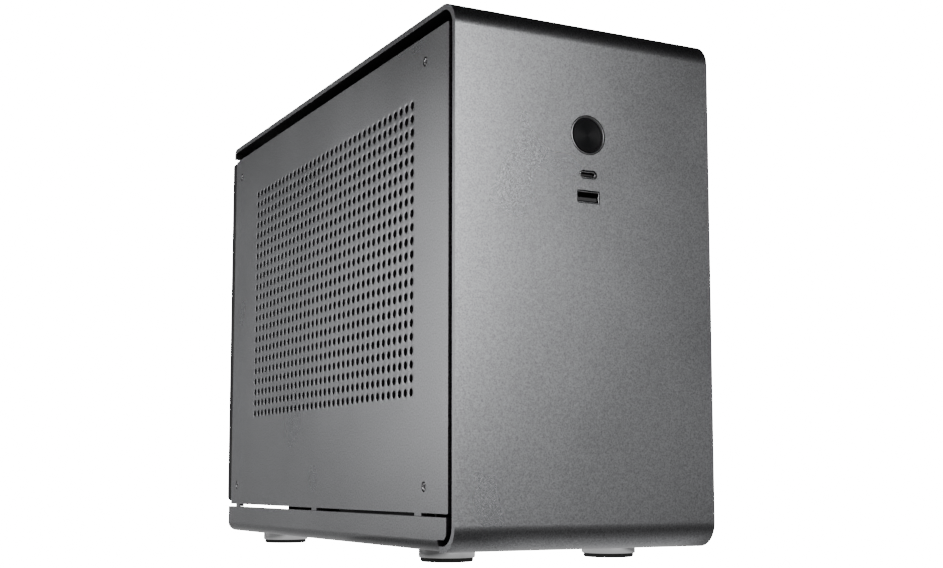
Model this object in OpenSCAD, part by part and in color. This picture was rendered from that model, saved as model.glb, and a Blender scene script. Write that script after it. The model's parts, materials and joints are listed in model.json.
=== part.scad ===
// Desktop computer tower: a bent aluminium shell with two perforated side panels,
// a steel inner frame and a complete small computer on both sides of a centre tray.
// Millimetres, +Z up, front towards -Y. Inside at_case(), X = 0 is mid-width,
// Y = 0 is the front face and Z = 0 is the underside of the shell.

/* [Shell] */
// Width over the shell
case_w = 150; // [140:1:182]
// Height of the shell without its feet
case_h = 267; // [260:1:322]
// Depth of the shell from the front face to the rear lip
case_d = 347.5; // [335:0.5:420]
// Thickness of the bent aluminium sheet
sheet = 3; // [2.4:0.1:3.6]
// Outer radius of the two front bends
front_bend_r = 13; // [8:0.5:16]
// Outer radius of the bends below the side strips
side_bend_r = 6; // [4:0.5:8]
// Height of the bent-up side strips above the underside
strip_h = 16.6; // [13:0.1:20]
// Drop of the lip at the rear of the top sheet
lip_h = 7; // [5:0.5:10]
// Distance the rear panel stands out behind the shell
rear_out = 3; // [2:0.5:6]

/* [Feet] */
// Height of a foot with its pad
foot_h = 7; // [6:0.5:12]
// Diameter of a foot
foot_d = 29; // [20:0.5:36]
// Distance of the feet from the middle of the case
foot_x = 49; // [40:0.5:56]
// Distance of the front feet from the front face
foot_front = 60.5; // [45:0.5:80]
// Distance of the rear feet from the rear end of the shell
foot_rear = 44; // [35:0.5:60]

/* [Side panels] */
// Thickness of a side panel
panel_t = 3; // [2:0.1:4]
// Gap between a panel and the inside of the front
panel_front_gap = 4.2; // [1:0.1:6]
// Gap between a panel and the inside of the top
panel_top_gap = 6.8; // [2:0.1:9]
// Gap between a panel and the strip below it
panel_bottom_gap = 1.7; // [1:0.1:4]
// Gap between a panel and the rear end of the shell
panel_rear_gap = 4.9; // [2:0.1:8]
// Corner radius of a panel
panel_corner_r = 0.8; // [0.4:0.1:6]
// Diameter of a ventilation hole
vent_d = 4.2; // [2:0.1:5]
// Pitch of the ventilation holes
vent_pitch = 7; // [6:0.1:9]
// Panel edge to first column of holes, at the front
vent_front = 41.9; // [20:0.1:60]
// Least distance from the last column of holes to the rear edge
vent_rear = 48.5; // [20:0.1:60]
// Panel edge to first row of holes, at the top
vent_top = 32.2; // [20:0.1:60]
// Least distance from the last row of holes to the bottom edge
vent_bottom = 59.3; // [20:0.1:70]

/* [Front controls] */
// Height of the power button below the top of the shell
button_drop = 59.7; // [50:0.1:70]
// Outer diameter of the power button's bezel
bezel_d = 20.4; // [16:0.1:24]
// Diameter of the power button's cap
cap_d = 17.2; // [12:0.1:19]
// Travel of the power button
button_travel = 1.2; // [0.5:0.1:1.4]
// Height of the USB-C opening below the top of the shell
usb_c_drop = 80; // [76:0.1:82]
// Height of the USB-A opening below the top of the shell
usb_a_drop = 91.4; // [90:0.1:96]

/* [Inner frame] */
// Thickness of the steel frame parts
frame_t = 1.5; // [1:0.1:2]
// Left face of the motherboard tray
tray_x = 4; // [2:0.5:8]
// Distance from the front face to the front frame
front_frame_y = 26; // [24:0.5:32]
// Height of the motherboard's lower edge
board_z = 66; // [62:0.5:72]
// Edge length of the square motherboard
board_w = 170; // [168:0.5:172]

/* [Power supply and cards] */
// Power supply: width across the tower
psu_w = 63.5; // [60:0.5:64]
// Power supply: depth along the tower
psu_d = 100; // [90:0.5:102]
// Power supply: height
psu_h = 125; // [110:0.5:126]
// Length of the graphics card
gpu_len = 262; // [200:1:265]
// Height of the graphics card
gpu_h = 112; // [100:1:118]

/* [Hidden] */
eps = 0.01;
fine = 64;

// Colours
gunmetal = [0.36, 0.37, 0.39];
bright = [0.75, 0.76, 0.78];
steel = [0.62, 0.63, 0.65];
black = [0.06, 0.06, 0.07];
dark = [0.14, 0.14, 0.15];
green = [0.05, 0.16, 0.12];
copper = [0.75, 0.42, 0.25];
gold = [0.8, 0.65, 0.3];

// Shell and side panels
rear_y = case_d + rear_out;
rear_in = rear_y - frame_t;
total_d = rear_y;
in_h = case_h - sheet;
panel_y0 = sheet + panel_front_gap;
panel_y1 = case_d - panel_rear_gap;
panel_z0 = strip_h + panel_bottom_gap;
panel_z1 = in_h - panel_top_gap;
panel_in = case_w / 2 - panel_t;
columns = floor((panel_y1 - panel_y0 - vent_front - vent_rear) / vent_pitch + 0.01) + 1;
rows = floor((panel_z1 - panel_z0 - vent_top - vent_bottom) / vent_pitch + 0.01) + 1;
// Strip: front end, length of the relief notch and its corner radius
strip_y0 = 9;
notch_y = 18.5;
notch_front_y = 16.5;
strip_corner = 4;
lug_w = 8;
lug_gap = 0.15;
rim_gap = 0.7;
rim_x = case_w / 2 - 0.2;
lug_y = [40.5, (panel_y0 + panel_y1) / 2 + 8, panel_y1 - 15.6];
feet = [for (sx = [-1, 1], y = [foot_front, case_d - foot_rear]) [sx * foot_x, y]];
pad_h = 2;

// M3 panel screws: inset of their centres from the panel's edges
screw_front = 26.5;
screw_rear = 12.6;
screw_low = 12.7;
screw_high = 13.2;
screw_y = [panel_y0 + screw_front, panel_y1 - screw_rear];
screw_z = [panel_z0 + screw_low, panel_z1 - screw_high];
m3_r = 1.5;
m3_hole_r = 1.6;
// Cap heads stand in counterbores, a little below the panel's face
head_r = 2.1;
head_set = 0.2;
head_seat = 2;
counterbore_r = 2.6;
socket_r = 1;
nut_l = 3;

// Front controls
button_z = case_h - button_drop;
usb_c_z = case_h - usb_c_drop;
usb_a_z = case_h - usb_a_drop;
bezel_r = bezel_d / 2;
cap_r = cap_d / 2;
cap_h = 3;
cap_set = 0.3;
cap_gap = 0.08;
stem_r = 4;
stem_gap = 0.05;
bezel_l = 9;
bezel_floor = cap_set + cap_h + button_travel + 0.3;
switch_l = 21;
io_board_y = sheet + 13.2;
io_board_t = 1.6;

// Inner frame
flange = 16;
frame_x = panel_in - 0.3;
tray_r = tray_x + frame_t;
tray_y0 = front_frame_y + frame_t;
frame_screw_x = 45;
tray_screw_x = tray_r + 8;
tray_flange_y = [60, case_d - 30];
bracket_x = 31;
rear_screw_x = 20;
foot_bracket_y = rear_in - 24;
top_bracket_y = rear_in - 29;
sink = 2.2;
// X and Y of every frame screw
low_screws = concat(
    [for (sx = [-1, 1]) [sx * frame_screw_x, front_frame_y + 9]],
    [for (y = [80, case_d - 60]) [tray_screw_x, y]],
    [for (sx = [-1, 1]) [sx * rear_screw_x, foot_bracket_y + 7]]
);
high_screws = concat(
    [for (sx = [-1, 1]) [sx * frame_screw_x, front_frame_y + 9]],
    [for (y = [80, case_d - 60]) [tray_screw_x, y]],
    [for (sx = [-1, 1]) [sx * rear_screw_x, top_bracket_y + 6]]
);
rear_z0 = panel_z0 + 1.8;
rear_z1 = panel_z1 + 0.8;

// Motherboard, 170 mm square, on 6 mm standoffs; its parts grow towards -X
standoff_h = 6;
pcb_t = 1.6;
pcb_x = tray_x - standoff_h;
top_x = pcb_x - pcb_t;
board_y1 = rear_in - 2;
board_y0 = board_y1 - board_w;
board_holes = [for (y = [board_y0 + 6.35, board_y1 - 8.71], z = [board_z + 6.35, board_z + board_w - 6.17]) [y, z]];
cpu_y = board_y1 - 80;
cpu_z = board_z + 108;
shield_x = [pcb_x - 45.5, pcb_x - 0.4];
shield_z = [board_z + 4, board_z + 163];
socket_h = 4;
lid_h = 0.8;
base_x = top_x - socket_h - lid_h;
base_h = 8;
fin_w = 92;
fin_x0 = base_x - base_h - 4;
fin_h = 24;
fan_x = fin_x0 - fin_h;
fan_h = 15;
fin_count = 30;
pipe_r = 3;
pipe_z = [-18, -6, 6, 18];
slot_z = board_z + 6.7;
slot_y = [board_y1 - 135, board_y1 - 46];
atx_z = [board_z + 84, board_z + 136];
atx_y = board_y0 + 4.2;
header_z = [board_z + 52, board_z + 148];

// Power supply
psu_x1 = tray_x - 9.5;
psu_x0 = psu_x1 - psu_w;
psu_y0 = front_frame_y + 32;
psu_z0 = sheet + 5;
psu_wall = 1;
psu_fan = 80;
psu_y = psu_y0 + psu_d / 2;
psu_z = psu_z0 + psu_h / 2;
inlet_x = psu_x0 + 31;
inlet_z = psu_z0 + 24;
inlet_w = 27;
inlet_h = 20;
rocker_z = inlet_z + 26;
rocker_r = 7;
rocker_gap = 0.3;
rocker_tilt = 8;

// Mains inlet on the rear panel
mains_x = -36;
mains_z = 44;
mains_l = 24;
lead_r = 3.5;
lead_x = tray_x - 5.2;

// Graphics card: board, cooler and fans grow towards +X
gpu_y1 = rear_in - frame_t - 0.1;
gpu_y0 = gpu_y1 - gpu_len;
gpu_z0 = board_z + 9;
gpu_x = tray_r + 7;
plate_x = tray_r + 4;
gpu_sink_x = gpu_x + 3.5;
gpu_sink_h = 20;
gpu_top_x = gpu_x + 43;
gpu_fan_r = 42;
gpu_fan_y = [gpu_y0 + 66, gpu_y1 - 72];
gpu_fan_x = gpu_sink_x + gpu_sink_h + 3;
gpu_fan_z = gpu_z0 + gpu_h / 2;
riser_z0 = gpu_z0 - 18;
ribbon_z = riser_z0 - 13;
ribbon_t = 1;
ribbon_r = 6;
ribbon_y = [slot_y[0] + 4, slot_y[1] - 4];

// Routes of the inner leads, each held at both ends
mains_route = [
    [mains_x, rear_in - mains_l, mains_z], [mains_x, rear_in - mains_l - 14, mains_z - 3],
    [mains_x + 4, rear_in - mains_l - 40, mains_z - 14], [-18, 205, 29], [lead_x, 172, 28],
    [lead_x, 120, 28], [lead_x, psu_y0 + 4, 29], [lead_x - 4, psu_y0 - 10, inlet_z - 2],
    [inlet_x + 22, psu_y0 - 13, inlet_z - 2], [inlet_x + 14, psu_y0 - 13, inlet_z - 2]
];
usb_route = [
    [0, io_board_y + io_board_t, usb_c_z - 6], [-1, io_board_y + 9, usb_c_z - 6.5],
    [-5, 40, usb_c_z - 13], [-9, 62, usb_c_z - 29], [-11, 90, 144], [-12, 120, 140],
    [-12, board_y0 - 28, 140], [-13, board_y0 - 14, header_z[0] + 17], [-16, board_y0 - 5, header_z[0] + 8],
    [top_x - 15, board_y0 + 2, header_z[0] + 1], [top_x - 9, board_y0 + 4, header_z[0]]
];
function button_route(dx) = [
    [dx, bezel_l + switch_l + 5, button_z], [dx, 46, button_z], [-6 + dx, 80, 206],
    [-14 + dx, 124, 207], [-18 + dx, board_y0 - 18, 211], [-18 + dx, board_y0 - 2, 214],
    [top_x - 14 + dx, board_y0 + 4, header_z[1]], [top_x - 9, board_y0 + 4 + dx, header_z[1]]
];
// Pins of the mains couplers, [across, up] from the middle
pins = [[-7, 0], [0, 3], [7, 0]];
board_lead_r = 4.5;
board_route = [
    [psu_x1 - 20, psu_y0 + psu_d, psu_z0 + 98], [psu_x1 - 20, psu_y0 + psu_d + 5, psu_z0 + 99],
    [psu_x1 - 21, psu_y0 + psu_d + 11, psu_z0 + 104], [psu_x1 - 23, psu_y0 + psu_d + 15, psu_z0 + 114],
    [psu_x1 - 26, atx_y - 5, psu_z0 + 128], [psu_x1 - 27.5, atx_y - 2, psu_z0 + 143],
    [psu_x1 - 27, atx_y - 0.5, atx_z[0] + 12], [top_x - 24, atx_y, atx_z[0] + 22], [top_x - 17, atx_y, atx_z[0] + 25.5],
    [top_x - 13.4, atx_y, atx_z[0] + 26]
];
gpu_lead_r = 3.5;
gpu_route = [
    [psu_x1 - 42, psu_y0 + psu_d, psu_z0 + 104], [psu_x1 - 42, psu_y0 + psu_d + 8, psu_z0 + 105],
    [psu_x1 - 41.5, psu_y0 + psu_d + 16, psu_z0 + 113], [psu_x1 - 40.5, psu_y0 + psu_d + 18, psu_z0 + 124],
    [psu_x1 - 37.5, psu_y0 + psu_d + 10, psu_z0 + 134], [psu_x1 - 32.5, psu_y0 + psu_d - 2, psu_z0 + 138],
    [-29, 140, 148], [-20, 122, 150], [-11, 104, 153], [-3, 89, 158], [6, 75, 163], [15, 66, 171],
    [gpu_x + 9, 64, 182], [gpu_x + 12, 70, gpu_z0 + gpu_h + 7], [gpu_x + 14, gpu_y0 - 2, gpu_z0 + gpu_h + 13],
    [gpu_x + 13, gpu_y0 + 16, gpu_z0 + gpu_h + 15], [gpu_x + 10, gpu_y0 + 34, gpu_z0 + gpu_h + 15],
    [gpu_x + 7.2, gpu_y0 + 47, gpu_z0 + gpu_h + 11], [gpu_x + 6.2, gpu_y0 + 53, gpu_z0 + gpu_h + 4],
    [gpu_x + 6.2, gpu_y0 + 54, gpu_z0 + gpu_h - 3]
];

// ---------- helpers ----------

module at_case() {
    translate([0, -total_d / 2, foot_h]) children();
}

module box(low, high) {
    translate(low) cube(high - low);
}

module rod_x(x0, x1, y, z, r, sides = fine) {
    translate([x0, y, z]) rotate([0, 90, 0]) cylinder(r = r, h = x1 - x0, $fn = sides);
}

module rod_y(y0, y1, x, z, r, sides = fine) {
    translate([x, y0, z]) rotate([-90, 0, 0]) cylinder(r = r, h = y1 - y0, $fn = sides);
}

module rod_z(z0, z1, x, y, r, sides = fine) {
    translate([x, y, z0]) cylinder(r = r, h = z1 - z0, $fn = sides);
}

// Extrudes an outline drawn in Y and Z along X
module along_x(x0, x1) {
    translate([x0, 0, 0]) rotate([90, 0, 90]) linear_extrude(x1 - x0) children();
}

// Extrudes an outline drawn in X and Z along Y
module along_y(y0, y1) {
    translate([0, y1, 0]) rotate([90, 0, 0]) linear_extrude(y1 - y0) children();
}

module rounded(low, high, r) {
    translate([low[0] + r, low[1]]) square([high[0] - low[0] - 2 * r, high[1] - low[1]]);
    translate([low[0], low[1] + r]) square([high[0] - low[0], high[1] - low[1] - 2 * r]);
    for (x = [low[0] + r, high[0] - r], y = [low[1] + r, high[1] - r])
        translate([x, y]) circle(r = r, $fn = fine);
}

// A quarter ring round a centre: quadrant 0 is +X +Y, counted anticlockwise
module quarter(centre, r, t, quadrant) {
    translate(centre) rotate(90 * quadrant) intersection() {
        difference() {
            circle(r = r, $fn = fine);
            circle(r = r - t, $fn = fine);
        }
        square([r, r]);
    }
}

module both_sides() {
    children();
    mirror([1, 0, 0]) children();
}

module face_left(x, y, z) {
    translate([x, y, z]) rotate([0, -90, 0]) children();
}

module face_right(x, y, z) {
    translate([x, y, z]) rotate([0, 90, 0]) children();
}

// A smooth route through points, and a round lead along it
function blend(a, b, c, d, t) =
    0.5 * ((2 * b) + (c - a) * t + (2 * a - 5 * b + 4 * c - d) * t * t + (3 * b - a - 3 * c + d) * t * t * t);
function smooth(p, n) = concat(
    [for (i = [0:len(p) - 2], k = [0:n - 1])
        blend(p[max(i - 1, 0)], p[i], p[i + 1], p[min(i + 2, len(p) - 1)], k / n)],
    [p[len(p) - 1]]
);
function unit(v) = v / norm(v);
lead_side = [0.35, 0.2, 1];

module lead(route, r, sides = 8, steps = 4) {
    p = smooth(route, steps);
    last = len(p) - 1;
    points = [for (i = [0:last])
        let (t = unit(p[min(i + 1, last)] - p[max(i - 1, 0)]), u = unit(cross(t, lead_side)), v = cross(t, u))
            for (k = [0:sides - 1]) p[i] + r * (cos(360 * k / sides) * u + sin(360 * k / sides) * v)];
    walls = [for (i = [0:last - 1], k = [0:sides - 1])
        let (a = i * sides + k, b = i * sides + (k + 1) % sides) [a, a + sides, b + sides, b]];
    ends = [[for (k = [0:sides - 1]) k], [for (k = [sides - 1:-1:0]) last * sides + k]];
    polyhedron(points, concat(walls, ends));
}

// A fan's rotor from Z = 0 up, with a blind bore for its spindle
spindle_r = 1.5;
module rotor(r, hub_r, h, blades, twist) {
    difference() {
        cylinder(r = hub_r, h = h, $fn = fine);
        translate([0, 0, -eps]) cylinder(r = spindle_r + stem_gap, h = h - 2, $fn = fine);
    }
    for (i = [0:blades - 1]) rotate(i * 360 / blades) intersection() {
        difference() {
            translate([0, 0, 0.6]) cylinder(r = r, h = h - 1.2, $fn = fine);
            translate([0, 0, -1]) cylinder(r = hub_r - 0.5, h = h + 2, $fn = fine);
        }
        translate([0, 0, h / 2]) rotate([twist, 0, 0]) translate([0, -0.6, -h]) cube([r + 1, 1.2, 2 * h]);
    }
}

// A square fan frame from Z = 0 up, with struts, motor plate and spindle
module fan_frame(w, h, bore_r, hub_r) {
    hole = w / 2 - 5;
    difference() {
        translate([-w / 2, -w / 2, 0]) cube([w, w, h]);
        translate([0, 0, -1]) cylinder(r = bore_r, h = h + 2, $fn = fine);
        for (x = [-hole, hole], y = [-hole, hole])
            translate([x, y, -1]) cylinder(r = 2.15, h = h + 2, $fn = fine);
    }
    cylinder(r = hub_r, h = 2, $fn = fine);
    for (a = [45:90:315]) rotate(a) translate([hub_r - 1, -2, 0.2]) cube([bore_r - hub_r + 4, 4, 1.6]);
    cylinder(r = spindle_r, h = h - 4, $fn = fine);
}

// ---------- shell ----------

module front_rounded(d, h, r) {
    translate([r, 0]) square([d - r, h]);
    translate([0, r]) square([r + eps, h - 2 * r]);
    translate([r, r]) circle(r = r, $fn = fine);
    translate([r, h - r]) circle(r = r, $fn = fine);
}

lip_r = sheet + 1;
module shell_outline() {
    difference() {
        front_rounded(case_d, case_h, front_bend_r);
        translate([sheet, sheet]) front_rounded(case_d, case_h - 2 * sheet, front_bend_r - sheet);
        translate([case_d - lip_r, case_h / 2]) square([lip_r + 1, case_h]);
    }
    quarter([case_d - lip_r, case_h - lip_r], lip_r, sheet, 0);
    translate([case_d - sheet, case_h - lip_h]) square([sheet, lip_h - lip_r]);
}

module strip_outline() {
    translate([strip_y0 + strip_corner, side_bend_r])
        square([case_d - strip_y0 - strip_corner, strip_h - side_bend_r]);
    translate([strip_y0, side_bend_r + strip_corner])
        square([case_d - strip_y0, strip_h - side_bend_r - strip_corner]);
    translate([strip_y0 + strip_corner, side_bend_r + strip_corner]) circle(r = strip_corner, $fn = fine);
}

module outer_shell() color(gunmetal) at_case() {
    difference() {
        along_x(-case_w / 2, case_w / 2) shell_outline();
        both_sides() box([case_w / 2 - side_bend_r, notch_front_y, -1], [case_w, case_d + 1, sheet + 1]);
        rod_y(-1, sheet + 1, 0, button_z, bezel_r + 0.05);
        along_y(-1, sheet + 1) rounded([-5.1, usb_c_z - 2.2], [5.1, usb_c_z + 2.2], 2.1);
        along_y(-1, sheet + 1) rounded([-6.75, usb_a_z - 3.35], [6.75, usb_a_z + 3.35], 0.8);
        for (p = feet) rod_z(-1, sheet + 1, p[0], p[1], 2.05);
        for (p = low_screws) rod_z(sheet - sink, sheet + 1, p[0], p[1], m3_r + 0.05);
        for (p = high_screws) rod_z(in_h - 1, in_h + sink, p[0], p[1], m3_r + 0.05);
    }
    both_sides() {
        along_y(notch_y, case_d) quarter([case_w / 2 - side_bend_r, side_bend_r], side_bend_r, sheet, 3);
        along_x(case_w / 2 - sheet, case_w / 2) strip_outline();
        box([case_w / 2 - side_bend_r - eps, notch_y, 0], [case_w / 2 - side_bend_r + eps, case_d, sheet]);
    }
}

module panel_plate() {
    difference() {
        union() {
            along_x(-case_w / 2, -panel_in) rounded([panel_y0, panel_z0], [panel_y1, panel_z1], panel_corner_r);
            for (y = lug_y)
                box([-case_w / 2, y - lug_w / 2, strip_h + lug_gap], [-panel_in, y + lug_w / 2, panel_z0 + 1]);
        }
        for (y = screw_y, z = screw_z) {
            rod_x(-case_w / 2 - 1, -panel_in + 1, y, z, m3_hole_r);
            rod_x(-case_w / 2 - 1, -case_w / 2 + head_seat, y, z, counterbore_r);
        }
    }
}

// Every vent is a true bore through the plate
module panel() {
    difference() {
        panel_plate();
        for (i = [0:columns - 1], j = [0:rows - 1])
            rod_x(-case_w / 2 - 1, -panel_in + 1, panel_y0 + vent_front + vent_pitch * i,
                panel_z1 - vent_top - vent_pitch * j, vent_d / 2, 24);
    }
}

module panel_screws() {
    for (y = screw_y, z = screw_z) difference() {
        union() {
            rod_x(-case_w / 2 + head_set, -case_w / 2 + head_seat, y, z, head_r);
            rod_x(-case_w / 2 + head_set + 1, -frame_x + frame_t + nut_l, y, z, m3_r);
        }
        rod_x(-case_w / 2, -case_w / 2 + head_set + 1.1, y, z, socket_r, 6);
    }
}

module left_panel() color(gunmetal) at_case() panel();
module right_panel() color(gunmetal) at_case() mirror([1, 0, 0]) panel();
module left_panel_screws() color(steel) at_case() panel_screws();
module right_panel_screws() color(steel) at_case() mirror([1, 0, 0]) panel_screws();

module panel_nuts() color(steel) at_case() both_sides()
    for (y = screw_y, z = screw_z) difference() {
        rod_x(-frame_x + frame_t, -frame_x + frame_t + nut_l, y, z, 3);
        rod_x(-frame_x, -frame_x + frame_t + nut_l + 1, y, z, m3_hole_r);
    }

module foot_rings() color(bright) at_case()
    for (p = feet) difference() {
        rod_z(pad_h - foot_h, 0, p[0], p[1], foot_d / 2);
        rod_z(pad_h - foot_h - 1, 1, p[0], p[1], 2.05);
        rod_z(pad_h - foot_h - 1, pad_h - foot_h + 2.2, p[0], p[1], 4);
    }

module foot_pads() color(black) at_case()
    for (p = feet) translate([p[0], p[1], -foot_h]) rotate_extrude($fn = fine) {
        square([foot_d / 2 - 2, pad_h]);
        translate([0, 1]) square([foot_d / 2 - 1, pad_h - 1]);
        translate([foot_d / 2 - 2, 1]) circle(r = 1, $fn = 32);
    }

module foot_screws() color(steel) at_case()
    for (p = feet) {
        rod_z(pad_h - foot_h, pad_h - foot_h + 2, p[0], p[1], 3.6);
        rod_z(pad_h - foot_h + 1, sheet + 1, p[0], p[1], 2);
        difference() {
            rod_z(sheet, sheet + 3.2, p[0], p[1], 4, 6);
            rod_z(sheet - 1, sheet + 4, p[0], p[1], 1.9);
        }
    }

// ---------- inner frame ----------

module frame_holes(points) {
    for (p = points) rod_z(-1, case_h + 1, p[0], p[1], m3_r + 0.05);
}

module front_frame() color(black) at_case() {
    y0 = front_frame_y;
    difference() {
        union() {
            box([-frame_x, y0, sheet + 8], [frame_x, y0 + frame_t, in_h - 8]);
            box([-60, y0, sheet], [60, y0 + frame_t, in_h]);
            both_sides() box([-frame_x, y0, panel_z0 + 2], [-frame_x + frame_t, y0 + flange, panel_z1]);
            box([-60, y0, sheet], [60, y0 + flange, sheet + frame_t]);
            box([-60, y0, in_h - frame_t], [60, y0 + flange, in_h]);
        }
        along_y(y0 - 1, y0 + frame_t + 1) rounded([-54, sheet + 16], [54, usb_a_z - 24], 6);
        along_y(y0 - 1, y0 + frame_t + 1) rounded([-34, usb_a_z - 14], [34, button_z + 22], 6);
        both_sides() for (y = [screw_y[0]], z = screw_z) rod_x(-case_w, -panel_in + 8, y, z, m3_hole_r);
        frame_holes(low_screws);
    }
}

module motherboard_tray() color(black) at_case() {
    y1 = case_d - 0.2;
    difference() {
        union() {
            box([tray_x, tray_y0, sheet], [tray_r, y1, in_h]);
            box([tray_x, tray_y0, sheet + 12], [tray_r + 12, tray_y0 + frame_t, in_h - 12]);
            box([tray_x, tray_flange_y[0], sheet], [tray_r + flange, tray_flange_y[1], sheet + frame_t]);
            box([tray_x, tray_flange_y[0], in_h - frame_t], [tray_r + flange, tray_flange_y[1], in_h]);
        }
        for (z = [sheet - 1, in_h - 4]) box([0, tray_y0 - 1, z], [60, front_frame_y + flange + 1, z + 5]);
        box([0, tray_y0 - 1, button_z - 14], [60, bezel_l + switch_l + 6, button_z + 14]);
        box([0, foot_bracket_y - 1, 0], [60, case_d + 9, sheet + 31]);
        box([0, top_bracket_y - 1, rear_z1 - frame_t - 1], [60, case_d + 9, case_h]);
        along_x(tray_x - 1, tray_r + 1) {
            rounded([cpu_y - 34, cpu_z - 34], [cpu_y + 34, cpu_z + 34], 5);
            rounded([58, 146], [84, 176], 5);
            rounded([slot_y[0] - 4, ribbon_z - 7], [slot_y[1] + 4, ribbon_z + 7], 3);
            rounded([tray_y0 + 8, 190], [130, 244], 6);
            rounded([psu_y0 + psu_d + 4, 30], [board_y0 - 2, 130], 4);
        }
        for (p = board_holes) rod_x(tray_x - 1, tray_r + 1, p[0], p[1], m3_r);
        frame_holes(low_screws);
        frame_holes(high_screws);
    }
}

// Rear panel: a shallow steel tray with cut-outs for the ports, slots and inlet
rear_lap = 28;
slot_x = [gpu_x + 1.5, gpu_x + 21.8];
module rear_panel() color(black) at_case() {
    difference() {
        union() {
            box([-frame_x, rear_y - rear_lap, rear_z0], [frame_x, rear_y - 1, rear_z1]);
            // Rim behind the side panels, flush with their faces
            along_y(panel_y1 + rim_gap, rear_y) rounded([-rim_x, rear_z0], [rim_x, rear_z1], 3);
        }
        box([-frame_x + frame_t, rear_y - rear_lap - 1, rear_z0 + frame_t],
            [frame_x - frame_t, rear_in, rear_z1 - frame_t]);
        box([-frame_x + 9, rear_y - rear_lap - 1, rear_z0 - 1], [frame_x - 9, rear_y - 20, rear_z1 + 1]);
        box([-bracket_x - 1, rear_y - rear_lap, rear_z0 - 1], [bracket_x + 1, rear_in, rear_z0 + frame_t + 1]);
        along_y(rear_in - 1, rear_y + 1) {
            translate([shield_x[0], shield_z[0]]) square([shield_x[1] - shield_x[0], shield_z[1] - shield_z[0]]);
            for (x = slot_x) translate([x, gpu_z0 + 2]) square([13, gpu_h - 16]);
            rounded([mains_x - 13.6, mains_z - 10], [mains_x + 13.6, mains_z + 10], 2);
            for (k = [0:8]) rounded([-frame_x + 9 + 6 * k, rear_z1 - 20], [-frame_x + 12 + 6 * k, rear_z1 - 6], 1.4);
            for (k = [0:8], j = [0:1])
                rounded([tray_r + 10 + 6 * k, rear_z1 - 32 - 24 * j], [tray_r + 13 + 6 * k, rear_z1 - 12 - 24 * j], 1.4);
        }
        both_sides() for (z = screw_z) rod_x(-case_w, -panel_in + 8, screw_y[1], z, m3_hole_r);
    }
}

module rear_brackets() color(black) at_case() difference() {
    union() {
        box([-bracket_x, foot_bracket_y, sheet], [bracket_x, rear_in, sheet + frame_t]);
        box([-bracket_x, rear_in - frame_t, sheet], [bracket_x, rear_in, mains_z - 14]);
        box([-bracket_x, top_bracket_y, in_h - frame_t], [bracket_x, top_bracket_y + 14, in_h]);
        box([-bracket_x, top_bracket_y + 14 - frame_t, rear_z1], [bracket_x, top_bracket_y + 14, in_h]);
        box([-bracket_x, top_bracket_y + 14 - frame_t, rear_z1], [bracket_x, rear_in - 3, rear_z1 + frame_t]);
    }
    frame_holes(low_screws);
    frame_holes(high_screws);
}

module frame_screws() color(steel) at_case() {
    for (p = low_screws) {
        rod_z(sheet - sink, sheet + frame_t, p[0], p[1], m3_r);
        rod_z(sheet + frame_t, sheet + frame_t + 2, p[0], p[1], 2.8);
    }
    for (p = high_screws) {
        rod_z(in_h - frame_t, in_h + sink, p[0], p[1], m3_r);
        rod_z(in_h - frame_t - 2, in_h - frame_t, p[0], p[1], 2.8);
    }
}

// ---------- front controls ----------

module button_bezel() color(dark) at_case() difference() {
    union() {
        rod_y(0, bezel_l, 0, button_z, bezel_r);
        rod_y(sheet + frame_t, sheet + frame_t + 2.5, 0, button_z, bezel_r + 3);
    }
    rod_y(-1, bezel_floor, 0, button_z, cap_r + cap_gap);
    rod_y(-1, bezel_l + 1, 0, button_z, stem_r + 0.5);
    translate([0, 0, button_z]) rotate([-90, 0, 0]) translate([0, 0, -eps])
        cylinder(r1 = bezel_r - 0.5, r2 = cap_r + cap_gap, h = 1, $fn = fine);
}

module button_cap() color(black) at_case() {
    rod_y(cap_set, cap_set + cap_h, 0, button_z, cap_r);
    rod_y(cap_set + cap_h - 1, bezel_l + 4, 0, button_z, stem_r);
}

module switch_body() color(dark) at_case() {
    difference() {
        rod_y(bezel_l, bezel_l + switch_l, 0, button_z, bezel_r - 0.8);
        rod_y(bezel_l - 1, bezel_l + 7, 0, button_z, stem_r + stem_gap);
    }
    for (x = [-4, 4], z = [-3, 3])
        box([x - 0.4, bezel_l + switch_l - 1, button_z + z - 1.2], [x + 0.4, bezel_l + switch_l + 5, button_z + z + 1.2]);
}

module front_io_bracket() color(steel) at_case() difference() {
    union() {
        box([-24, sheet, usb_a_z - 8], [24, sheet + frame_t, button_z + 15]);
        both_sides() box([-24, sheet, usb_a_z - 8], [-24 + frame_t, io_board_y, usb_c_z + 6]);
    }
    rod_y(sheet - 1, sheet + frame_t + 1, 0, button_z, bezel_r + 0.05);
    box([-8, sheet - 1, usb_a_z - 4.5], [8, sheet + frame_t + 1, usb_c_z + 4]);
}

module usb_c_socket() color(steel) at_case() {
    difference() {
        along_y(0.6, io_board_y) rounded([-4.47, usb_c_z - 1.6], [4.47, usb_c_z + 1.6], 1.55);
        along_y(0, io_board_y - 4) rounded([-4.17, usb_c_z - 1.28], [4.17, usb_c_z + 1.28], 1.25);
    }
    box([-3.35, 1.6, usb_c_z - 0.35], [3.35, io_board_y - 3.5, usb_c_z + 0.35]);
}

module usb_a_socket() color(steel) at_case() {
    difference() {
        box([-6.55, 0.6, usb_a_z - 2.85], [6.55, io_board_y, usb_a_z + 2.85]);
        box([-6.2, 0, usb_a_z - 2.5], [6.2, io_board_y - 3, usb_a_z + 2.5]);
    }
    box([-5.6, 1.4, usb_a_z - 1.9], [5.6, io_board_y - 2.5, usb_a_z - 0.1]);
}

module front_io_board() color(green) at_case()
    box([-24, io_board_y, usb_a_z - 8], [24, io_board_y + io_board_t, usb_c_z + 6]);

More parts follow.
